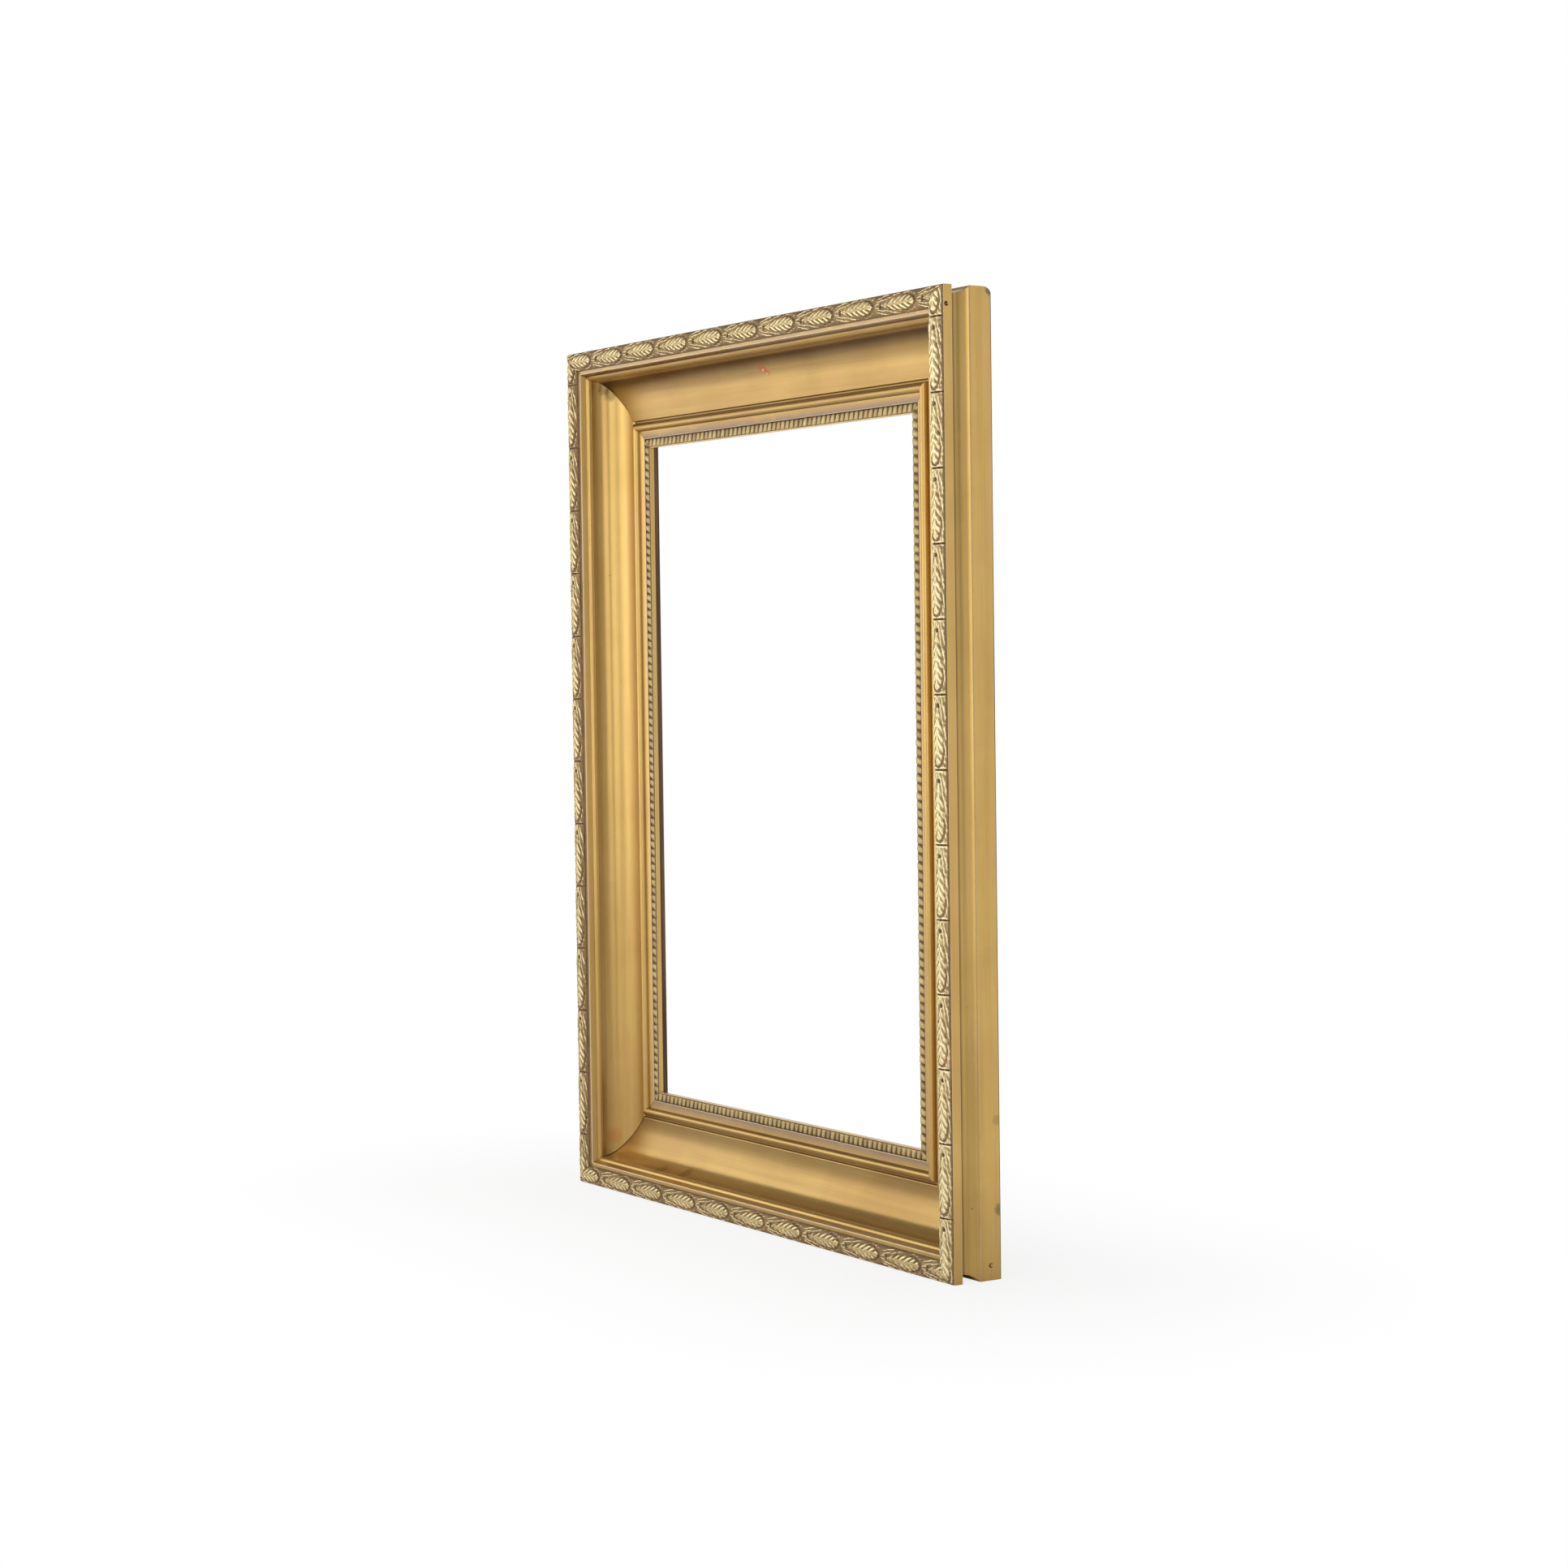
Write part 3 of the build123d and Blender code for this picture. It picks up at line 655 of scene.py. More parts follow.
class Nodes:
    """Node tree of a material or a world, emptied and ready to fill."""

    def __init__(self, owner):
        owner.use_nodes = True
        self.tree = owner.node_tree
        self.tree.nodes.clear()

    def connect(self, socket, value):
        """Link a value to a socket, or set a number or colour on it."""
        if isinstance(value, Value):
            self.tree.links.new(value.socket, socket)
        elif hasattr(value, "__len__") and len(socket.default_value) == 4:
            socket.default_value = (*value, 1.0)
        else:
            socket.default_value = value

    def node(self, kind, settings=None, inputs=None, output=0):
        """Add a node: its settings first, then the values or links of its sockets. Returns one of its outputs."""
        node = self.tree.nodes.new(kind)
        for name, value in (settings or {}).items():
            setattr(node, name, value)
        for name, value in (inputs or {}).items():
            self.connect(node.inputs[name], value)
        return Value(self, node.outputs[output]) if node.outputs else None

    def axis(self, vector, name):
        """One axis of a vector."""
        return self.node("ShaderNodeSeparateXYZ", None, {0: vector}, output=name)

    def ray(self, kind):
        """1 for rays of a kind: Camera, Glossy or Transmission."""
        return self.node("ShaderNodeLightPath", output=f"Is {kind} Ray")


class Finish(Nodes):
    """Procedural material around one Principled shader."""

    def __init__(self, name):
        self.material = bpy.data.materials.new(name)
        super().__init__(self.material)
        self.shader = self.tree.nodes.new("ShaderNodeBsdfPrincipled")
        self.out = self.tree.nodes.new("ShaderNodeOutputMaterial")
        self.tree.links.new(self.shader.outputs["BSDF"], self.out.inputs["Surface"])

    def place(self):
        """Place on the object, in metres."""
        return self.node("ShaderNodeTexCoord", output="Object")

    def attribute(self, name, output="Fac"):
        """Number or vector stored on the mesh."""
        return self.node("ShaderNodeAttribute", {"attribute_name": name}, output=output)

    def stretch(self, vector, scale):
        """Vector scaled axis by axis."""
        return self.node("ShaderNodeVectorMath", {"operation": "MULTIPLY"}, {0: vector, 1: scale})

    def noise(self, vector, scale, detail=3.0, rough=0.55):
        """Noise from about 0 to 1."""
        inputs = {"Vector": vector, "Scale": scale, "Detail": detail, "Roughness": rough}
        return self.node("ShaderNodeTexNoise", None, inputs)

    def grain(self, along, across, detail=3.0, rough=0.55):
        """Noise drawn out along a side, with one scale along it and one across it."""
        run = self.attribute("run", "Vector")
        return self.noise(self.stretch(run, (along, across, across)), 1.0, detail, rough)

    def specks(self, vector, scale, radius, share_shown):
        """Round specks: cells whose random value is under a share show a dot of a radius, in cell widths."""
        cell = {"feature": "F1", "distance": "EUCLIDEAN"}
        near = self.node("ShaderNodeTexVoronoi", cell, {"Vector": vector, "Scale": scale}, output="Distance")
        mark = self.node("ShaderNodeTexVoronoi", cell, {"Vector": vector, "Scale": scale}, output="Color")
        shown = self.axis(mark, "X").math("LESS_THAN", share_shown)
        return (1 - near.rise(0.6 * radius, radius)) * shown

    def mix(self, factor, first, second):
        """Colour between two colours."""
        return self.node("ShaderNodeMix", {"data_type": "RGBA"}, {0: factor, 6: first, 7: second}, output=2)

    def spot(self, centre, radius):
        """1 at a point of the object, falling to 0 at a radius."""
        ends = {0: self.place(), 1: centre}
        away = self.node("ShaderNodeVectorMath", {"operation": "DISTANCE"}, ends, output="Value")
        return 1 - away.rise(0.2 * radius, radius)

    def bump(self, height, distance, strength=1.0):
        """Normal from a height."""
        return self.node("ShaderNodeBump", None, {"Strength": strength, "Distance": distance, "Height": height})

    def set(self, **values):
        """Set or link the shader's sockets, whose names have spaces where these have underscores."""
        for name, value in values.items():
            self.connect(self.shader.inputs[name.replace("_", " ")], value)


# Marks on the gilding: centre and reach in millimetres, colour and strength.
MARKS = (
    ((-6.6, 4.6, 887.0), 8.0, "bole", 0.7),
    ((-1.0, 5.5, 884.5), 8.0, "bole", 0.85),
    ((3.6, 6.3, 881.5), 7.0, "bole", 0.6),
    ((-3.4, 5.2, 884.0), 3.2, "worn", 0.9),
    ((1.6, 6.3, 880.0), 3.0, "worn", 0.8),
    ((-328.5, -2.8, 54.2), 17.0, "bole", 0.3),
    ((-321.8, 3.2, 885.3), 15.0, "grime", 0.55),
    ((-327.7, -1.8, 891.0), 13.0, "grime", 0.6),
    ((-210.1, -10.3, 31.9), 15.0, "grime", 0.35),
    ((-163.9, -6.6, 33.2), 15.0, "grime", 0.35),
    ((-288.8, 0.8, 38.7), 1.2, "pale", 1.0),
    ((-122.4, -4.8, 34.2), 1.3, "pale", 1.0),
    ((-240.5, 15.5, 688.7), 10.0, "bole", 0.5),
    ((364.0, 27.5, 928.6), 11.0, "grime", 0.75),
    ((364.0, 27.1, 66.1), 11.0, "stain", 0.75),
    ((364.0, 24.5, 150.9), 9.0, "stain", 0.35),
)


@cache
def gilding():
    """Satin gilding over gesso: clouded and streaked gold, rubbed grey on edges, darker in hollow corners, brown
    painted shade.
    """
    c = sizes("colours")
    finish = Finish("satin_gilding")
    where = finish.place()
    edge = finish.attribute("edge")
    cloud = finish.noise(where, 9.0, 3.0)
    patch = finish.noise(where, 45.0, 4.0, 0.6)
    fine = finish.noise(where, 420.0, 3.0)
    band = finish.grain(2.2, 70.0)
    streak = finish.grain(9.0, 520.0)
    tone = finish.mix(cloud.rise(0.38, 0.68) * 0.22 + band.rise(0.4, 0.7) * 0.3, c.gold, c.deep)
    tone = finish.mix(patch.rise(0.55, 0.8) * 0.1, tone, c.pale)
    tone = finish.mix(streak.rise(0.5, 0.75) * 0.22, tone, c.deep)
    tone = finish.mix(finish.noise(where, 17.0, 2.0).rise(0.5, 0.75) * 0.3, tone, c.copper)
    grey = finish.attribute("dust") * patch.rise(0.2, 0.5)
    tone = finish.mix(grey, tone, c.dusty)
    # Painted shade stored on the rails, in brown: under the lip, on the step, in the neck and by the astragal; it also
    # makes the gilding a little more metallic.
    painted_shade_share = finish.attribute("toning")
    tone = finish.mix((painted_shade_share * (0.8 + cloud * 0.4)).least(1.0), tone, c.toning)
    rubbed = edge.rise(0.25, 0.95) * patch.rise(0.2, 0.55)
    tone = finish.mix(rubbed * 0.85, tone, c.worn)
    # Darker and rougher in hollow corners, where the edge value is below zero.
    hollow_darkening = (0 - edge).rise(0.2, 1.0) * 0.55
    tone = finish.mix(hollow_darkening, tone, c.grime)
    fly = finish.specks(where, 95.0, 0.085, 0.16) * patch.rise(0.42, 0.6)
    tone = finish.mix(fly * 0.8, tone, c.grime)
    ragged = finish.noise(where, 500.0, 5.0, 0.75) - 0.5
    for centre, reach, name, strength in MARKS:
        mark = (finish.spot(np.array(centre) * MM, reach * MM) + ragged * 1.8).rise(0.35, 1.0)
        tone = finish.mix(mark * strength, tone, getattr(c, name))
    dull = (0.25 + band * 0.08 + fine * 0.05 + hollow_darkening * 0.3).least(0.9)
    relief = fine * 0.5 + streak * 0.35
    metal = (0.85 + painted_shade_share * 0.15 - rubbed * 0.6 - grey * 0.6).most(0.0)
    finish.set(Base_Color=tone, Roughness=dull, Metallic=metal, Normal=finish.bump(relief, 0.12 * MM, 0.5))
    finish.set(Coat_Weight=0.12, Coat_Roughness=0.25)
    return finish.material


@cache
def cast_gilding():
    """Gilded composition: lighter crests and darker hollows, part rubbed gold and brown patina, part painted highlight
    and shade.
    """
    c = sizes("colours")
    finish = Finish("gilded_casts")
    where = finish.place()
    relief = finish.attribute("relief")
    cavity = finish.attribute("cavity")
    fine = finish.noise(where, 600.0, 3.0)
    cloud = finish.noise(where, 40.0, 3.0)
    tone = finish.mix((relief + (cloud - 0.5) * 0.2).rise(0.2, 0.65), c.cast_ground, c.cast_mid)
    tone = finish.mix(cloud.rise(0.54, 0.72) * 0.35, tone, c.copper)
    tone = finish.mix((0 - cavity + (fine - 0.5) * 0.4).rise(0.2, 1.0) * 0.8, tone, c.cast_low)
    high = (cavity + (relief - 0.5) * 0.6 + (fine - 0.5) * 0.4 + (cloud - 0.5) * 0.4).rise(0.05, 0.6)
    tone = finish.mix(high, tone, c.cast_high)
    dull = 0.55 - high * 0.2 + fine * 0.08
    finish.set(Base_Color=tone, Roughness=dull, Metallic=0.7, Normal=finish.bump(fine, 0.1 * MM, 0.5))
    return finish.material


@cache
def bare_wood():
    """Old bare wood: dark grain along the rail, with dirt in patches."""
    c = sizes("colours")
    finish = Finish("bare_wood")
    grain = finish.grain(6.0, 380.0, 5.0, 0.6)
    pores = finish.grain(40.0, 2400.0, 2.0)
    patch = finish.noise(finish.place(), 18.0, 3.0)
    tone = finish.mix(grain.rise(0.35, 0.68), c.raw_wood, c.dark_wood)
    tone = finish.mix(pores.rise(0.6, 0.75) * 0.5, tone, c.dark_wood)
    tone = finish.mix(patch.rise(0.5, 0.75) * 0.4, tone, c.grime)
    finish.set(Base_Color=tone, Roughness=0.72 + patch * 0.15, Normal=finish.bump(grain + pores * 0.4, 0.2 * MM, 0.6))
    return finish.material


@cache
def aged_brass():
    """Brass with brown tarnish in patches and fine scratches."""
    c = sizes("colours")
    finish = Finish("aged_brass")
    where = finish.place()
    patch = finish.noise(where, 160.0, 4.0, 0.6)
    fine = finish.noise(finish.stretch(where, (900.0, 900.0, 5000.0)), 1.0, 2.0)
    tarnish = patch.rise(0.42, 0.68) * 0.8
    finish.set(
        Base_Color=finish.mix(tarnish, c.brass, c.tarnish),
        Roughness=0.3 + tarnish * 0.35 + fine * 0.08,
        Metallic=1.0,
        Normal=finish.bump(fine + patch * 0.5, 0.04 * MM, 0.5),
    )
    return finish.material


@cache
def rusty_iron():
    """Dull iron with rust in spots."""
    c = sizes("colours")
    finish = Finish("rusty_iron")
    rust = finish.noise(finish.place(), 700.0, 4.0).rise(0.45, 0.65)
    finish.set(Base_Color=finish.mix(rust, c.iron, c.bole), Roughness=0.6 + rust * 0.3, Metallic=0.4)
    return finish.material


class GILDED_FRAME_OT_back_rails(bpy.types.Operator):
    """Back rails: flat gilded sides, a worn rear edge and bare wood behind"""

    bl_idname = "gilded_frame.back_rails"
    bl_label = "Back rails"

    def execute(self, context):
        m, f, s = sizes("moulding"), sizes("fitting"), section_lines()
        front = s.seam + m.glue_line
        hole_level = (s.seam + DEPTH) / 2
        for side in SIDES:
            rear = m.top_worn if side == "top" else m.rear_edge
            profile = outline(
                outer_face(DEPTH - rear - 2 * MM, front + 3 * MM, 40),
                (0, front),
                (m.back_rail_width, front),
                (m.back_rail_width, DEPTH),
                (m.top_worn + 2 * MM, DEPTH),
                turn((rear, DEPTH), (-1, 0), rear, math.pi / 2, 9),
                ease=0.4 * MM,
            )
            middle = (profile[0] + np.roll(profile[0], -1, axis=0)) / 2
            bare = (middle[:, 1] > DEPTH - rear - 0.1 * MM) | (middle[:, 0] > 2 * rear)
            end = half_length(side) - f.back_hole
            holes = {"left": [(-end, hole_level)], "right": [(end, hole_level)]}.get(side, [])
            rail(side, "back_rail", profile, bare, holes=holes, worn=m.top_worn)
        return {"FINISHED"}


class GILDED_FRAME_OT_outer_rails(bpy.types.Operator):
    """Outer rails: front block, listel, step, lip, neck and cavetto"""

    bl_idname = "gilded_frame.outer_rails"
    bl_label = "Outer rails"

    # Painted shade on the step for each side, and how grey the listel's dust is.
    ledge_painted_shade = {"top": 0.95, "bottom": 0.0, "left": 0.15, "right": 0.0}
    listel_dust = {"top": 0.6, "bottom": 0.1, "left": 0.5, "right": 0.1}

    def execute(self, context):
        m, f, s = sizes("moulding"), sizes("fitting"), section_lines()
        lip = arc((s.step_inset + 0.2 * MM, s.step), (s.lip_inset, s.lip), -m.lip_bulge)
        cavetto = arc((0, s.seam - 0.3 * MM), (m.neck_inset, s.neck_end), m.cavetto_hollow)
        profile = outline(
            (m.neck_inset, s.block_rear),
            (0, s.block_rear),
            outer_face(s.block_rear - 2.4 * MM, m.arris_level + 1 * MM, 24),
            (0, m.arris_level),
            (m.laurel_band, s.seat),
            (m.laurel_band, s.listel),
            (s.listel_inset, s.listel),
            (s.step_inset, s.step),
            lip,
            (s.lip_inset, s.seam),
            (0, s.seam),
            cavetto,
        )
        inset, level = profile[0].T
        neck = (level > s.block_rear - 0.1 * MM) * (inset > 1 * MM) * (inset < 0.5 * s.lip_inset)
        # Painted shadow of the front block on the neck, and painted shade on the step.
        shadow = 0.8 * fade(level - s.block_rear, 4.5 * MM, 8.5 * MM) * neck
        ledge = bell(inset - s.listel_inset - 2.4 * MM, 1.7 * MM) * (level < s.lip)
        listel = (inset > m.laurel_band - 0.1 * MM) * (inset < s.listel_inset + 0.3 * MM)
        listel = listel * (level > s.seat) * (level < s.listel + 0.3 * MM)
        hole_level = s.block_rear - f.front_hole_level
        for side in SIDES:
            end = half_length(side) - f.front_hole
            holes = {"left": [(end, hole_level)], "right": [(-end, hole_level)]}.get(side, [])
            toning = np.maximum(shadow, self.ledge_painted_shade[side] * ledge)
            rail(side, "outer_rail", profile, toning=toning, dust=self.listel_dust[side] * listel, holes=holes)
        return {"FINISHED"}


class GILDED_FRAME_OT_cove_rails(bpy.types.Operator):
    """Scoops: a tight hollow under the lip that runs into a wide one, with a mitre that has opened"""

    bl_idname = "gilded_frame.cove_rails"
    bl_label = "Scoops"

    def execute(self, context):
        m, c, s = sizes("moulding"), sizes("colours"), section_lines()
        start = (s.lip_inset + m.glue_line, s.lip)
        tight = turn(start, (0, 1), m.cove_radius, -m.cove_turn, 24)
        heading = np.array([math.sin(m.cove_turn), math.cos(m.cove_turn)])
        foot = np.array([s.cove_inset - m.glue_line, s.cove_foot])
        chord = foot - tight[-1]
        lean = math.atan2(heading[1], heading[0]) - math.atan2(chord[1], chord[0])
        wide = turn(tight[-1], heading, np.linalg.norm(chord) / (2 * math.sin(lean)), -2 * lean, 24)
        inner = m.back_rail_width + m.glue_line
        profile = outline(
            np.concatenate([tight, wide[1:]]),
            (foot[0], s.channel),
            (inner, s.channel),
            (inner, s.seam),
            (start[0], s.seam),
        )
        # Painted shade on each side's scoop: on the top under the lip and lighter over the rest, on the bottom towards
        # the foot, on the left under the lip, none on the right.
        under = profile[0][:, 0] - s.lip_inset
        below_edge = fade(-under, -3.2 * MM, -1.2 * MM)
        outer_half = 0.34 * fade(-under, -19 * MM, -9 * MM)
        beside_quirk = 0.42 * fade(m.cove_width - under, 1 * MM, 8 * MM)
        painted_shade_share = {
            "top": np.maximum(c.painted_shade_under_lip * fade(under, 2 * MM, 24 * MM), 0.36) * below_edge,
            "bottom": np.maximum(outer_half, beside_quirk),
            "left": 0.3 * c.painted_shade_under_lip * fade(under, 1 * MM, 14 * MM),
            "right": 0.0,
        }
        bare = behind(profile, s.channel - 1 * MM)
        for side in SIDES:
            gaps = {"left": (m.open_mitre, 0.0), "bottom": (0.0, m.open_mitre)}.get(side, (0.0, 0.0))
            rail(side, "cove_rail", profile, bare, painted_shade_share[side], gaps=gaps)
        return {"FINISHED"}


class GILDED_FRAME_OT_sight_rails(bpy.types.Operator):
    """Sight rails: quirk, astragal, frieze, bead seat, sight edge and rebate"""

    bl_idname = "gilded_frame.sight_rails"
    bl_label = "Sight rails"

    # Share of the painted shade and of the frieze's dust on each side: full on the top and bottom, a tenth on the left
    # and right.
    toned = {"top": 1.0, "bottom": 1.0, "left": 0.1, "right": 0.1}

    def execute(self, context):
        m, c, s = sizes("moulding"), sizes("colours"), section_lines()
        bulge = arc((s.astragal_inset, s.cove_foot), (s.frieze_inset, s.cove_foot), -m.astragal_rise, 24)
        profile = outline(
            bulge,
            (s.frieze_inset, s.frieze),
            (s.bead_inset, s.bead_top),
            (s.bead_inset, s.bead_seat),
            (s.fillet_inset, s.bead_seat),
            (s.fillet_inset, s.sight),
            (s.width, s.sight),
            (s.width, s.rebate),
            (s.rebate_inset, s.rebate),
            (s.rebate_inset, DEPTH),
            (s.cove_inset, DEPTH),
            (s.cove_inset, s.quirk),
            (s.astragal_inset, s.quirk),
        )
        inset, level = profile[0].T
        # Painted shade on the astragal's outer flank and at its foot, more over the frieze and a little all over the
        # front.
        flank = c.painted_shade_on_flank * fade(inset - s.astragal_inset, 4.2 * MM, 7.4 * MM)
        foot = c.painted_shade_by_frieze * bell(inset - s.frieze_inset, 1.9 * MM)
        frieze = (inset > s.frieze_inset + 0.6 * MM) * (inset < s.bead_inset + 0.1 * MM) * (level < s.bead_seat)
        toning = np.maximum(np.maximum(flank, foot), 0.1 + 0.35 * frieze) * (level < s.bead_seat)
        # The quirk counts as a shallow hollow: a little darker, never rubbed.
        profile[1][(inset < s.astragal_inset) & (level < s.rebate)] = -0.5
        bare = behind(profile, s.rebate - 0.8 * MM)
        for side in SIDES:
            rail(side, "sight_rail", profile, bare, toning * self.toned[side], frieze * self.toned[side])
        return {"FINISHED"}


class GILDED_FRAME_OT_laurel(bpy.types.Operator):
    """Cast laurel runs on the front block"""

    bl_idname = "gilded_frame.laurel"
    bl_label = "Laurel"

    first_joint = {"top": 60 * MM, "bottom": 50 * MM, "left": 35 * MM, "right": 29 * MM}
    sense = {"top": 1, "bottom": -1, "left": -1, "right": 1}
    # Painted shade taken off each side's casts; on the right it is negative, a painted light.
    shade = {"top": 0.07, "bottom": 0.1, "left": 0.08, "right": -0.08}
    crack_share = {"top": 0.15, "bottom": 0.15, "left": 0.5, "right": 1.0}

    def execute(self, context):
        m, z, s = sizes("moulding"), sizes("laurel"), section_lines()
        inner = (m.laurel_band - z.side_gap) / math.cos(s.cant)
        across = np.linspace(z.margin, inner, z.points_across)
        half_band = (inner - z.margin) / 2
        random = np.random.default_rng(z.seed)
        for side in SIDES:
            reach = half_length(side) - m.mitre_gap / math.sqrt(2)
            step = np.linspace(-1, 1, int(2 * reach / z.grid_step))[:, None]
            along = step * (reach - across * math.cos(s.cant))
            travel = self.sense[side] * along + half_length(side) - self.first_joint[side]
            cast = np.floor(travel / z.repeat).astype(int)
            t = travel - cast * z.repeat
            unit = random.uniform(0.94, 1.0, 40)[cast + 2]
            drift = random.uniform(-1, 1, 40)[cast + 2] * z.drift
            x = np.broadcast_to(across - z.margin - half_band, along.shape)
            sway = rounded_noise(along, x, z.seed + SIDES.index(side))
            height = laurel_height(t + z.sway_along * sway, x + drift + z.sway_across * sway, half_band, unit)
            height += z.rough * rounded_noise(along, x, z.seed + 10)
            from_joint = np.minimum(t, z.repeat - t) + z.sway_across * rounded_noise(along, 3 * x, z.seed + 4)
            crack = bell(from_joint, 0.5 * z.crack) * self.crack_share[side]
            rim = np.clip((half_band - np.abs(x)) / np.where(x < 0, z.outer_rim, z.inner_rim), 0, 1)
            height = np.maximum(height * (1 - crack) * (0.4 + 0.6 * np.sqrt(rim)), z.thinnest)
            # Painted shade and highlight from the relief: cavity darkens hollows and relief lightens crests, with each
            # side's painted shade taken off both.
            cavity = np.clip((height - smooth(height, 4)) / (1.1 * MM), -1, 1) - crack - self.shade[side]
            relief = (height - laurel_core(x, half_band)) / z.leaf_crest - self.shade[side]
            relief, cavity = (np.pad(values, ((0, 0), (1, 1)), mode="edge") for values in (relief, cavity))
            height = np.pad(height, ((0, 0), (1, 1)), constant_values=m.glue_line)
            seat = np.pad(across, 1, mode="edge")
            inset = seat * math.cos(s.cant) + height * math.sin(s.cant)
            level = m.arris_level + seat * math.sin(s.cant) - height * math.cos(s.cant)
            level = np.maximum(level, z.clearance)
            cast_run(side, "laurel", inset, level, step * (reach - inset), relief, cavity)
        return {"FINISHED"}


class GILDED_FRAME_OT_beads(bpy.types.Operator):
    """Cast bead runs at the sight edge"""

    bl_idname = "gilded_frame.beads"
    bl_label = "Beads"

    def execute(self, context):
        m, b, s = sizes("moulding"), sizes("bead"), section_lines()
        band = m.bead_band - 2 * b.side_gap
        q = np.linspace(-1, 1, b.points_across)
        for side in SIDES:
            reach = half_length(side) - m.mitre_gap / math.sqrt(2)
            beads = int(2 * (half_length(side) - s.bead_inset) // b.pitch)
            step = np.linspace(-1, 1, beads * b.points_each + 1)[:, None]
            inset = s.bead_inset + b.side_gap + band * (q + 1) / 2
            along = step * (reach - inset)
            phase = along / b.pitch + 0.5 * (beads % 2 == 0) + b.slant * q
            part = np.abs(phase - np.round(phase))
            swell = np.clip(1 - (part / (0.5 - b.slot * (1 - q) / 4)) ** 3, 0, 1) ** 0.5
            crown = np.clip(1 - np.clip(-q, 0, 1) ** 4, 0, 1) ** 0.5
            uneven = np.random.default_rng(b.seed).uniform(0.55, 1.0, beads + 20)
            swell = swell * uneven[np.round(phase).astype(int) + beads // 2 + 10]
            height = b.web + (b.height - b.web) * swell * (0.2 + 0.8 * crown)
            # Painted highlight on the beads' crests and painted shade between them, through relief and cavity.
            relief = swell * (0.3 + 0.7 * crown)
            cavity = 0.9 * relief - 0.98
            relief, cavity = (np.pad(values, ((0, 0), (1, 1))) for values in (relief, cavity))
            height = np.pad(height, ((0, 0), (1, 1)), constant_values=m.glue_line)
            inset = np.pad(inset, 1, mode="edge")
            cast_run(side, "bead", inset, s.bead_seat - height, step * (reach - inset), relief, cavity)
        return {"FINISHED"}


class GILDED_FRAME_OT_fittings(bpy.types.Operator):
    """Nails, turn buttons, screws and hangers"""

    bl_idname = "gilded_frame.fittings"
    bl_label = "Fittings"

    def execute(self, context):
        for node in ("front_mitre_nails", "back_mitre_nails"):
            self.paint(node, rusty_iron())
        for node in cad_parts:
            if node.startswith(("turn_button", "strap_hanger", "hang_ring")) or node.endswith("_screws"):
                self.paint(node, aged_brass())
        return {"FINISHED"}

    @staticmethod
    def paint(node, material):
        """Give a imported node's own solid a material."""
        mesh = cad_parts[node].data
        mesh.materials.clear()
        mesh.materials.append(material)


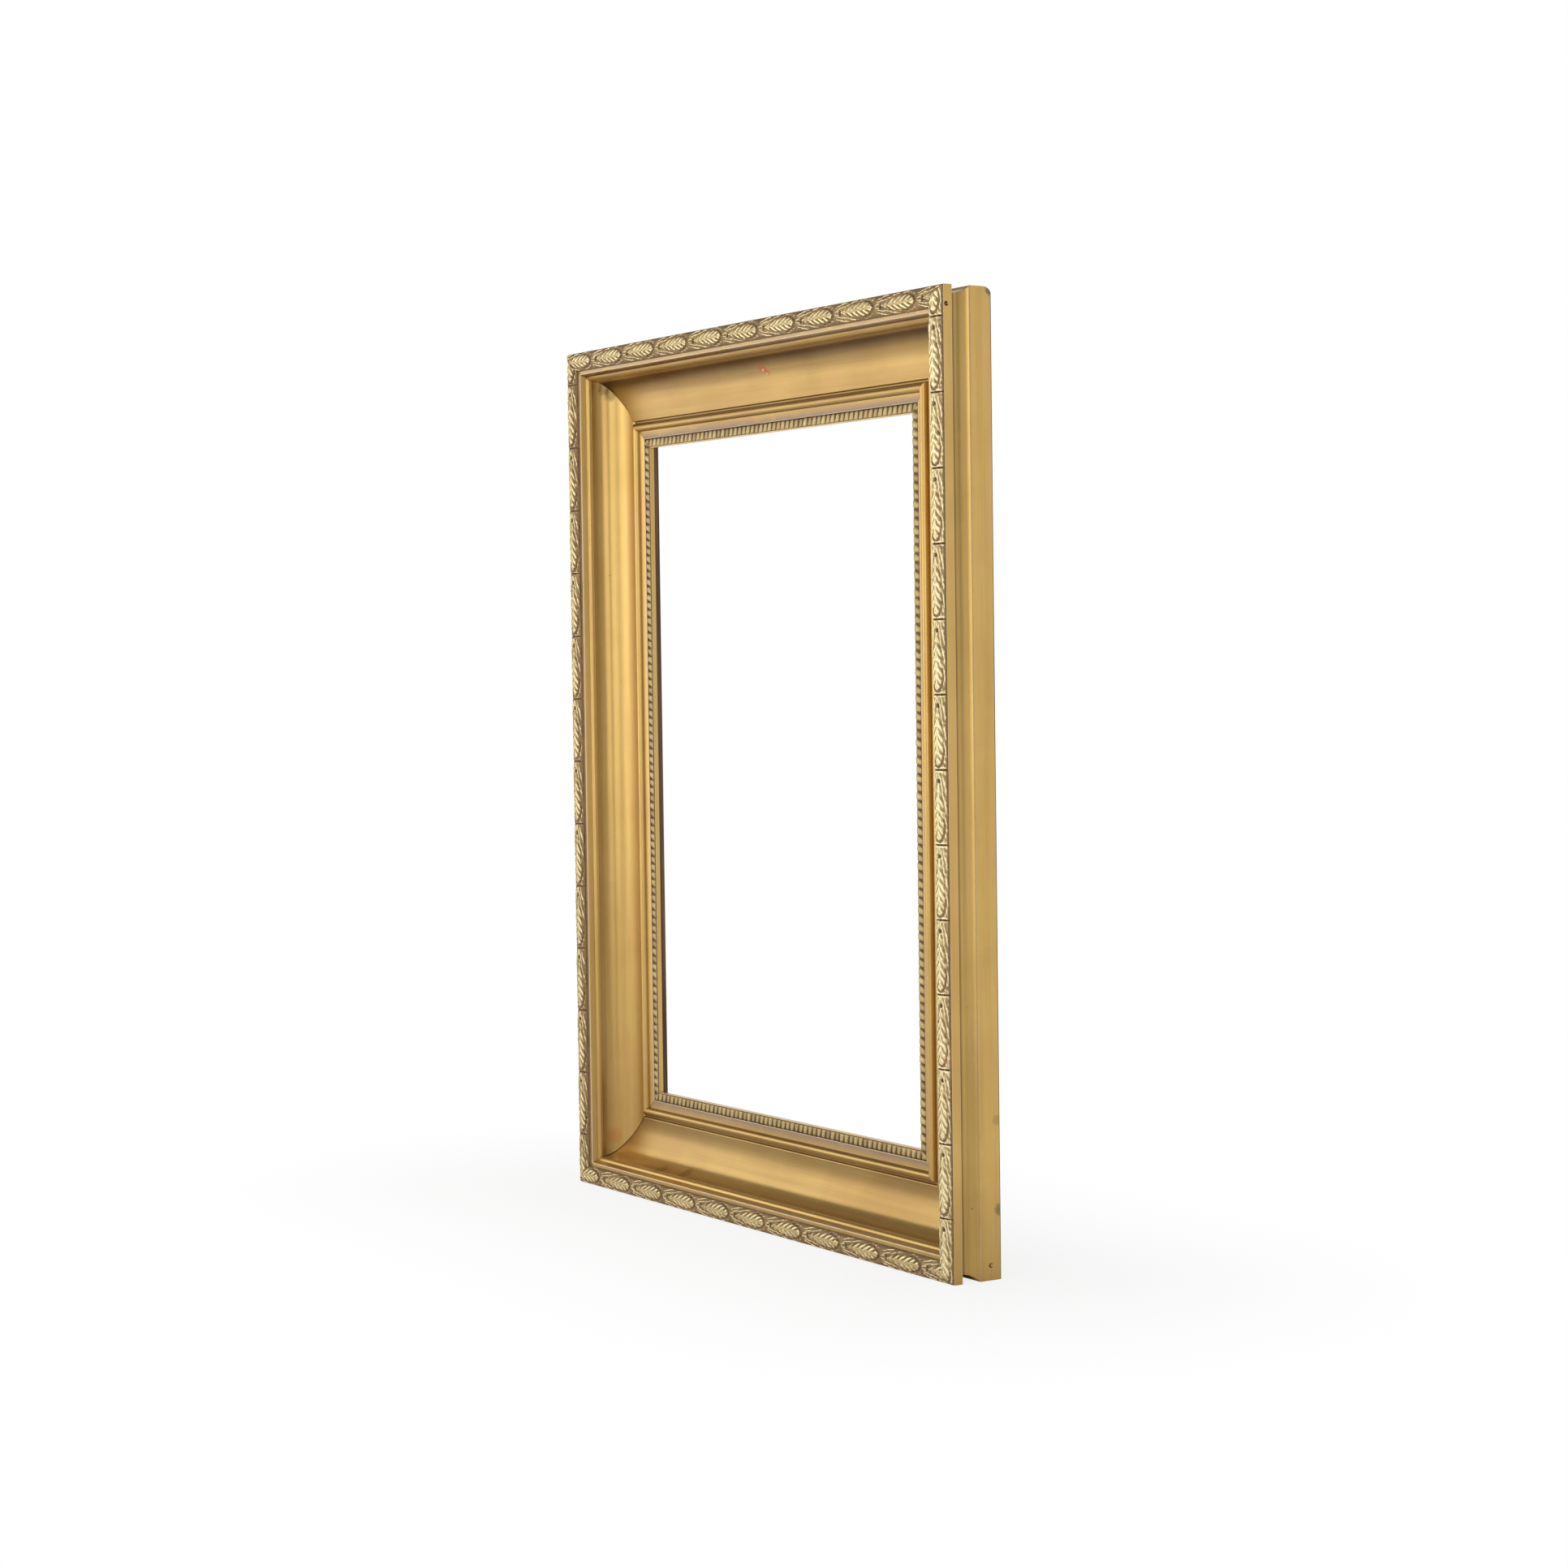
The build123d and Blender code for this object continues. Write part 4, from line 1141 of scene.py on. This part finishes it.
class GILDED_FRAME_OT_stage(bpy.types.Operator):
    """Pale floor, soft lights, white surround and the camera"""

    bl_idname = "gilded_frame.stage"
    bl_label = "Stage"

    # Each light's place and target, width and height
    lamps = {
        "key": ((-1.9, -2.57, 1.0), (-0.15, 0, 0.55), 1.4, 1.8),
        "fill": ((-2.89, -1.65, 0.9), (-0.15, 0, 0.5), 1.3, 1.8),
        "front": ((-0.25, -2.6, 1.0), (0, 0, 0.5), 1.0, 1.8),
        "side": ((1.6, -2.35, 0.95), (0.2, 0, 0.5), 1.7, 1.6),
        "right": ((2.7, -0.9, 0.8), (0.3, 0, 0.5), 1.4, 1.6),
    }

    def execute(self, context):
        g = sizes("stage")
        corner = np.array([[-1, -1], [1, -1], [1, 1], [-1, 1]]) * g.floor_half
        points = np.column_stack([corner, np.zeros(4)])
        floor = solid("floor", points, np.array([[0, 1, 2, 3]]))
        finish = Finish("pale_floor")
        finish.set(Base_Color=g.floor, Roughness=0.9)
        where = finish.place()
        off_end = (finish.axis(where, "X").size() - OUTER_WIDTH / 2).most(0.0)
        back = finish.axis(where, "Y")
        away = (off_end * off_end + back * back).math("SQRT")
        glow = finish.node("ShaderNodeEmission", None, {"Color": (1.0, 1.0, 1.0), "Strength": 1.0})
        seen = finish.ray("Camera").most(finish.ray("Transmission")).most(finish.ray("Glossy") * back.rise(0.0, 0.3))
        own = Value(finish, finish.shader.outputs[0])
        white = seen * (0.82 + away.rise(0.0, 0.5) * 0.18)
        blend = finish.node("ShaderNodeMixShader", None, {0: white, 1: own, 2: glow})
        finish.tree.links.new(blend.socket, finish.out.inputs["Surface"])
        floor.data.materials.append(finish.material)
        self.surround(g)
        for name, (where, target, width, height) in self.lamps.items():
            self.lamp(name, Vector(where), Vector(target), width, height, getattr(g, name + "_power"))
        camera = bpy.data.objects.new("camera", bpy.data.cameras.new("camera"))
        camera.data.lens = g.lens
        camera.location = g.camera_place
        camera.rotation_euler = g.camera_turn
        context.scene.collection.objects.link(camera)
        context.scene.camera = camera
        context.scene.view_settings.view_transform = "Standard"
        return {"FINISHED"}

    @staticmethod
    def lamp(name, where, target, width, height, power):
        """Soft light of a width and height at a place, facing a target."""
        light = bpy.data.lights.new(name, "AREA")
        light.shape = "RECTANGLE"
        light.size, light.size_y = width, height
        light.energy = power
        lamp = bpy.data.objects.new(name, light)
        lamp.location = where
        lamp.rotation_euler = (where - target).to_track_quat("Z", "Y").to_euler()
        lamp.visible_camera = False
        bpy.context.scene.collection.objects.link(lamp)

    @staticmethod
    def surround(g):
        """Even light on the object, and a white surround: all round for the camera, behind the frame for a gloss."""
        world = bpy.data.worlds.new("surround")
        bpy.context.scene.world = world
        air = Nodes(world)
        even, room, white = (
            air.node("ShaderNodeBackground", None, {"Color": (1.0, 1.0, 1.0), "Strength": strength})
            for strength in (g.sky, g.room, 1.0)
        )
        rear = air.axis(air.node("ShaderNodeTexCoord", output="Generated"), "Y").rise(0.05, 0.45)
        camera, glossy, glass = (air.ray(kind) for kind in ("Camera", "Glossy", "Transmission"))
        lit = air.node("ShaderNodeMixShader", None, {0: glossy, 1: even, 2: room})
        seen = camera.most(glass).most(glossy * rear)
        light = air.node("ShaderNodeMixShader", None, {0: seen, 1: lit, 2: white})
        air.node("ShaderNodeOutputWorld", None, {"Surface": light})


GROUPS = {
    "moulding": MouldingSizes,
    "laurel": LaurelSizes,
    "bead": BeadSizes,
    "fitting": FittingSizes,
    "colours": GildingColours,
    "stage": StageSettings,
}
OPERATORS = (
    GILDED_FRAME_OT_back_rails,
    GILDED_FRAME_OT_outer_rails,
    GILDED_FRAME_OT_cove_rails,
    GILDED_FRAME_OT_sight_rails,
    GILDED_FRAME_OT_laurel,
    GILDED_FRAME_OT_beads,
    GILDED_FRAME_OT_fittings,
    GILDED_FRAME_OT_stage,
)


class GILDED_FRAME_PT_panel(bpy.types.Panel):
    """Steps and sizes of the gilded frame"""

    bl_idname = "GILDED_FRAME_PT_panel"
    bl_label = "Gilded frame"
    bl_space_type = "VIEW_3D"
    bl_region_type = "UI"
    bl_category = "Frame"

    def draw(self, context):
        for operator in OPERATORS:
            self.layout.operator(operator.bl_idname)
        for group, kind in GROUPS.items():
            box = self.layout.box()
            box.label(text=group.capitalize())
            for name in kind.__annotations__:
                box.prop(sizes(group), name, text=name.replace("_", " ").capitalize())


def register():
    """Register the classes and hang the property groups on the scene."""
    for kind in (*GROUPS.values(), *OPERATORS, GILDED_FRAME_PT_panel):
        bpy.utils.register_class(kind)
    for group, kind in GROUPS.items():
        setattr(bpy.types.Scene, "gilded_frame_" + group, PointerProperty(type=kind))


def unregister():
    """Take the property groups and classes away again."""
    for group in GROUPS:
        delattr(bpy.types.Scene, "gilded_frame_" + group)
    for kind in (GILDED_FRAME_PT_panel, *reversed(OPERATORS), *GROUPS.values()):
        bpy.utils.unregister_class(kind)


def main():
    """Build every piece in order."""
    register()
    for operator in OPERATORS:
        group, name = operator.bl_idname.split(".")
        getattr(getattr(bpy.ops, group), name)()


if __name__ == "__main__":
    main()
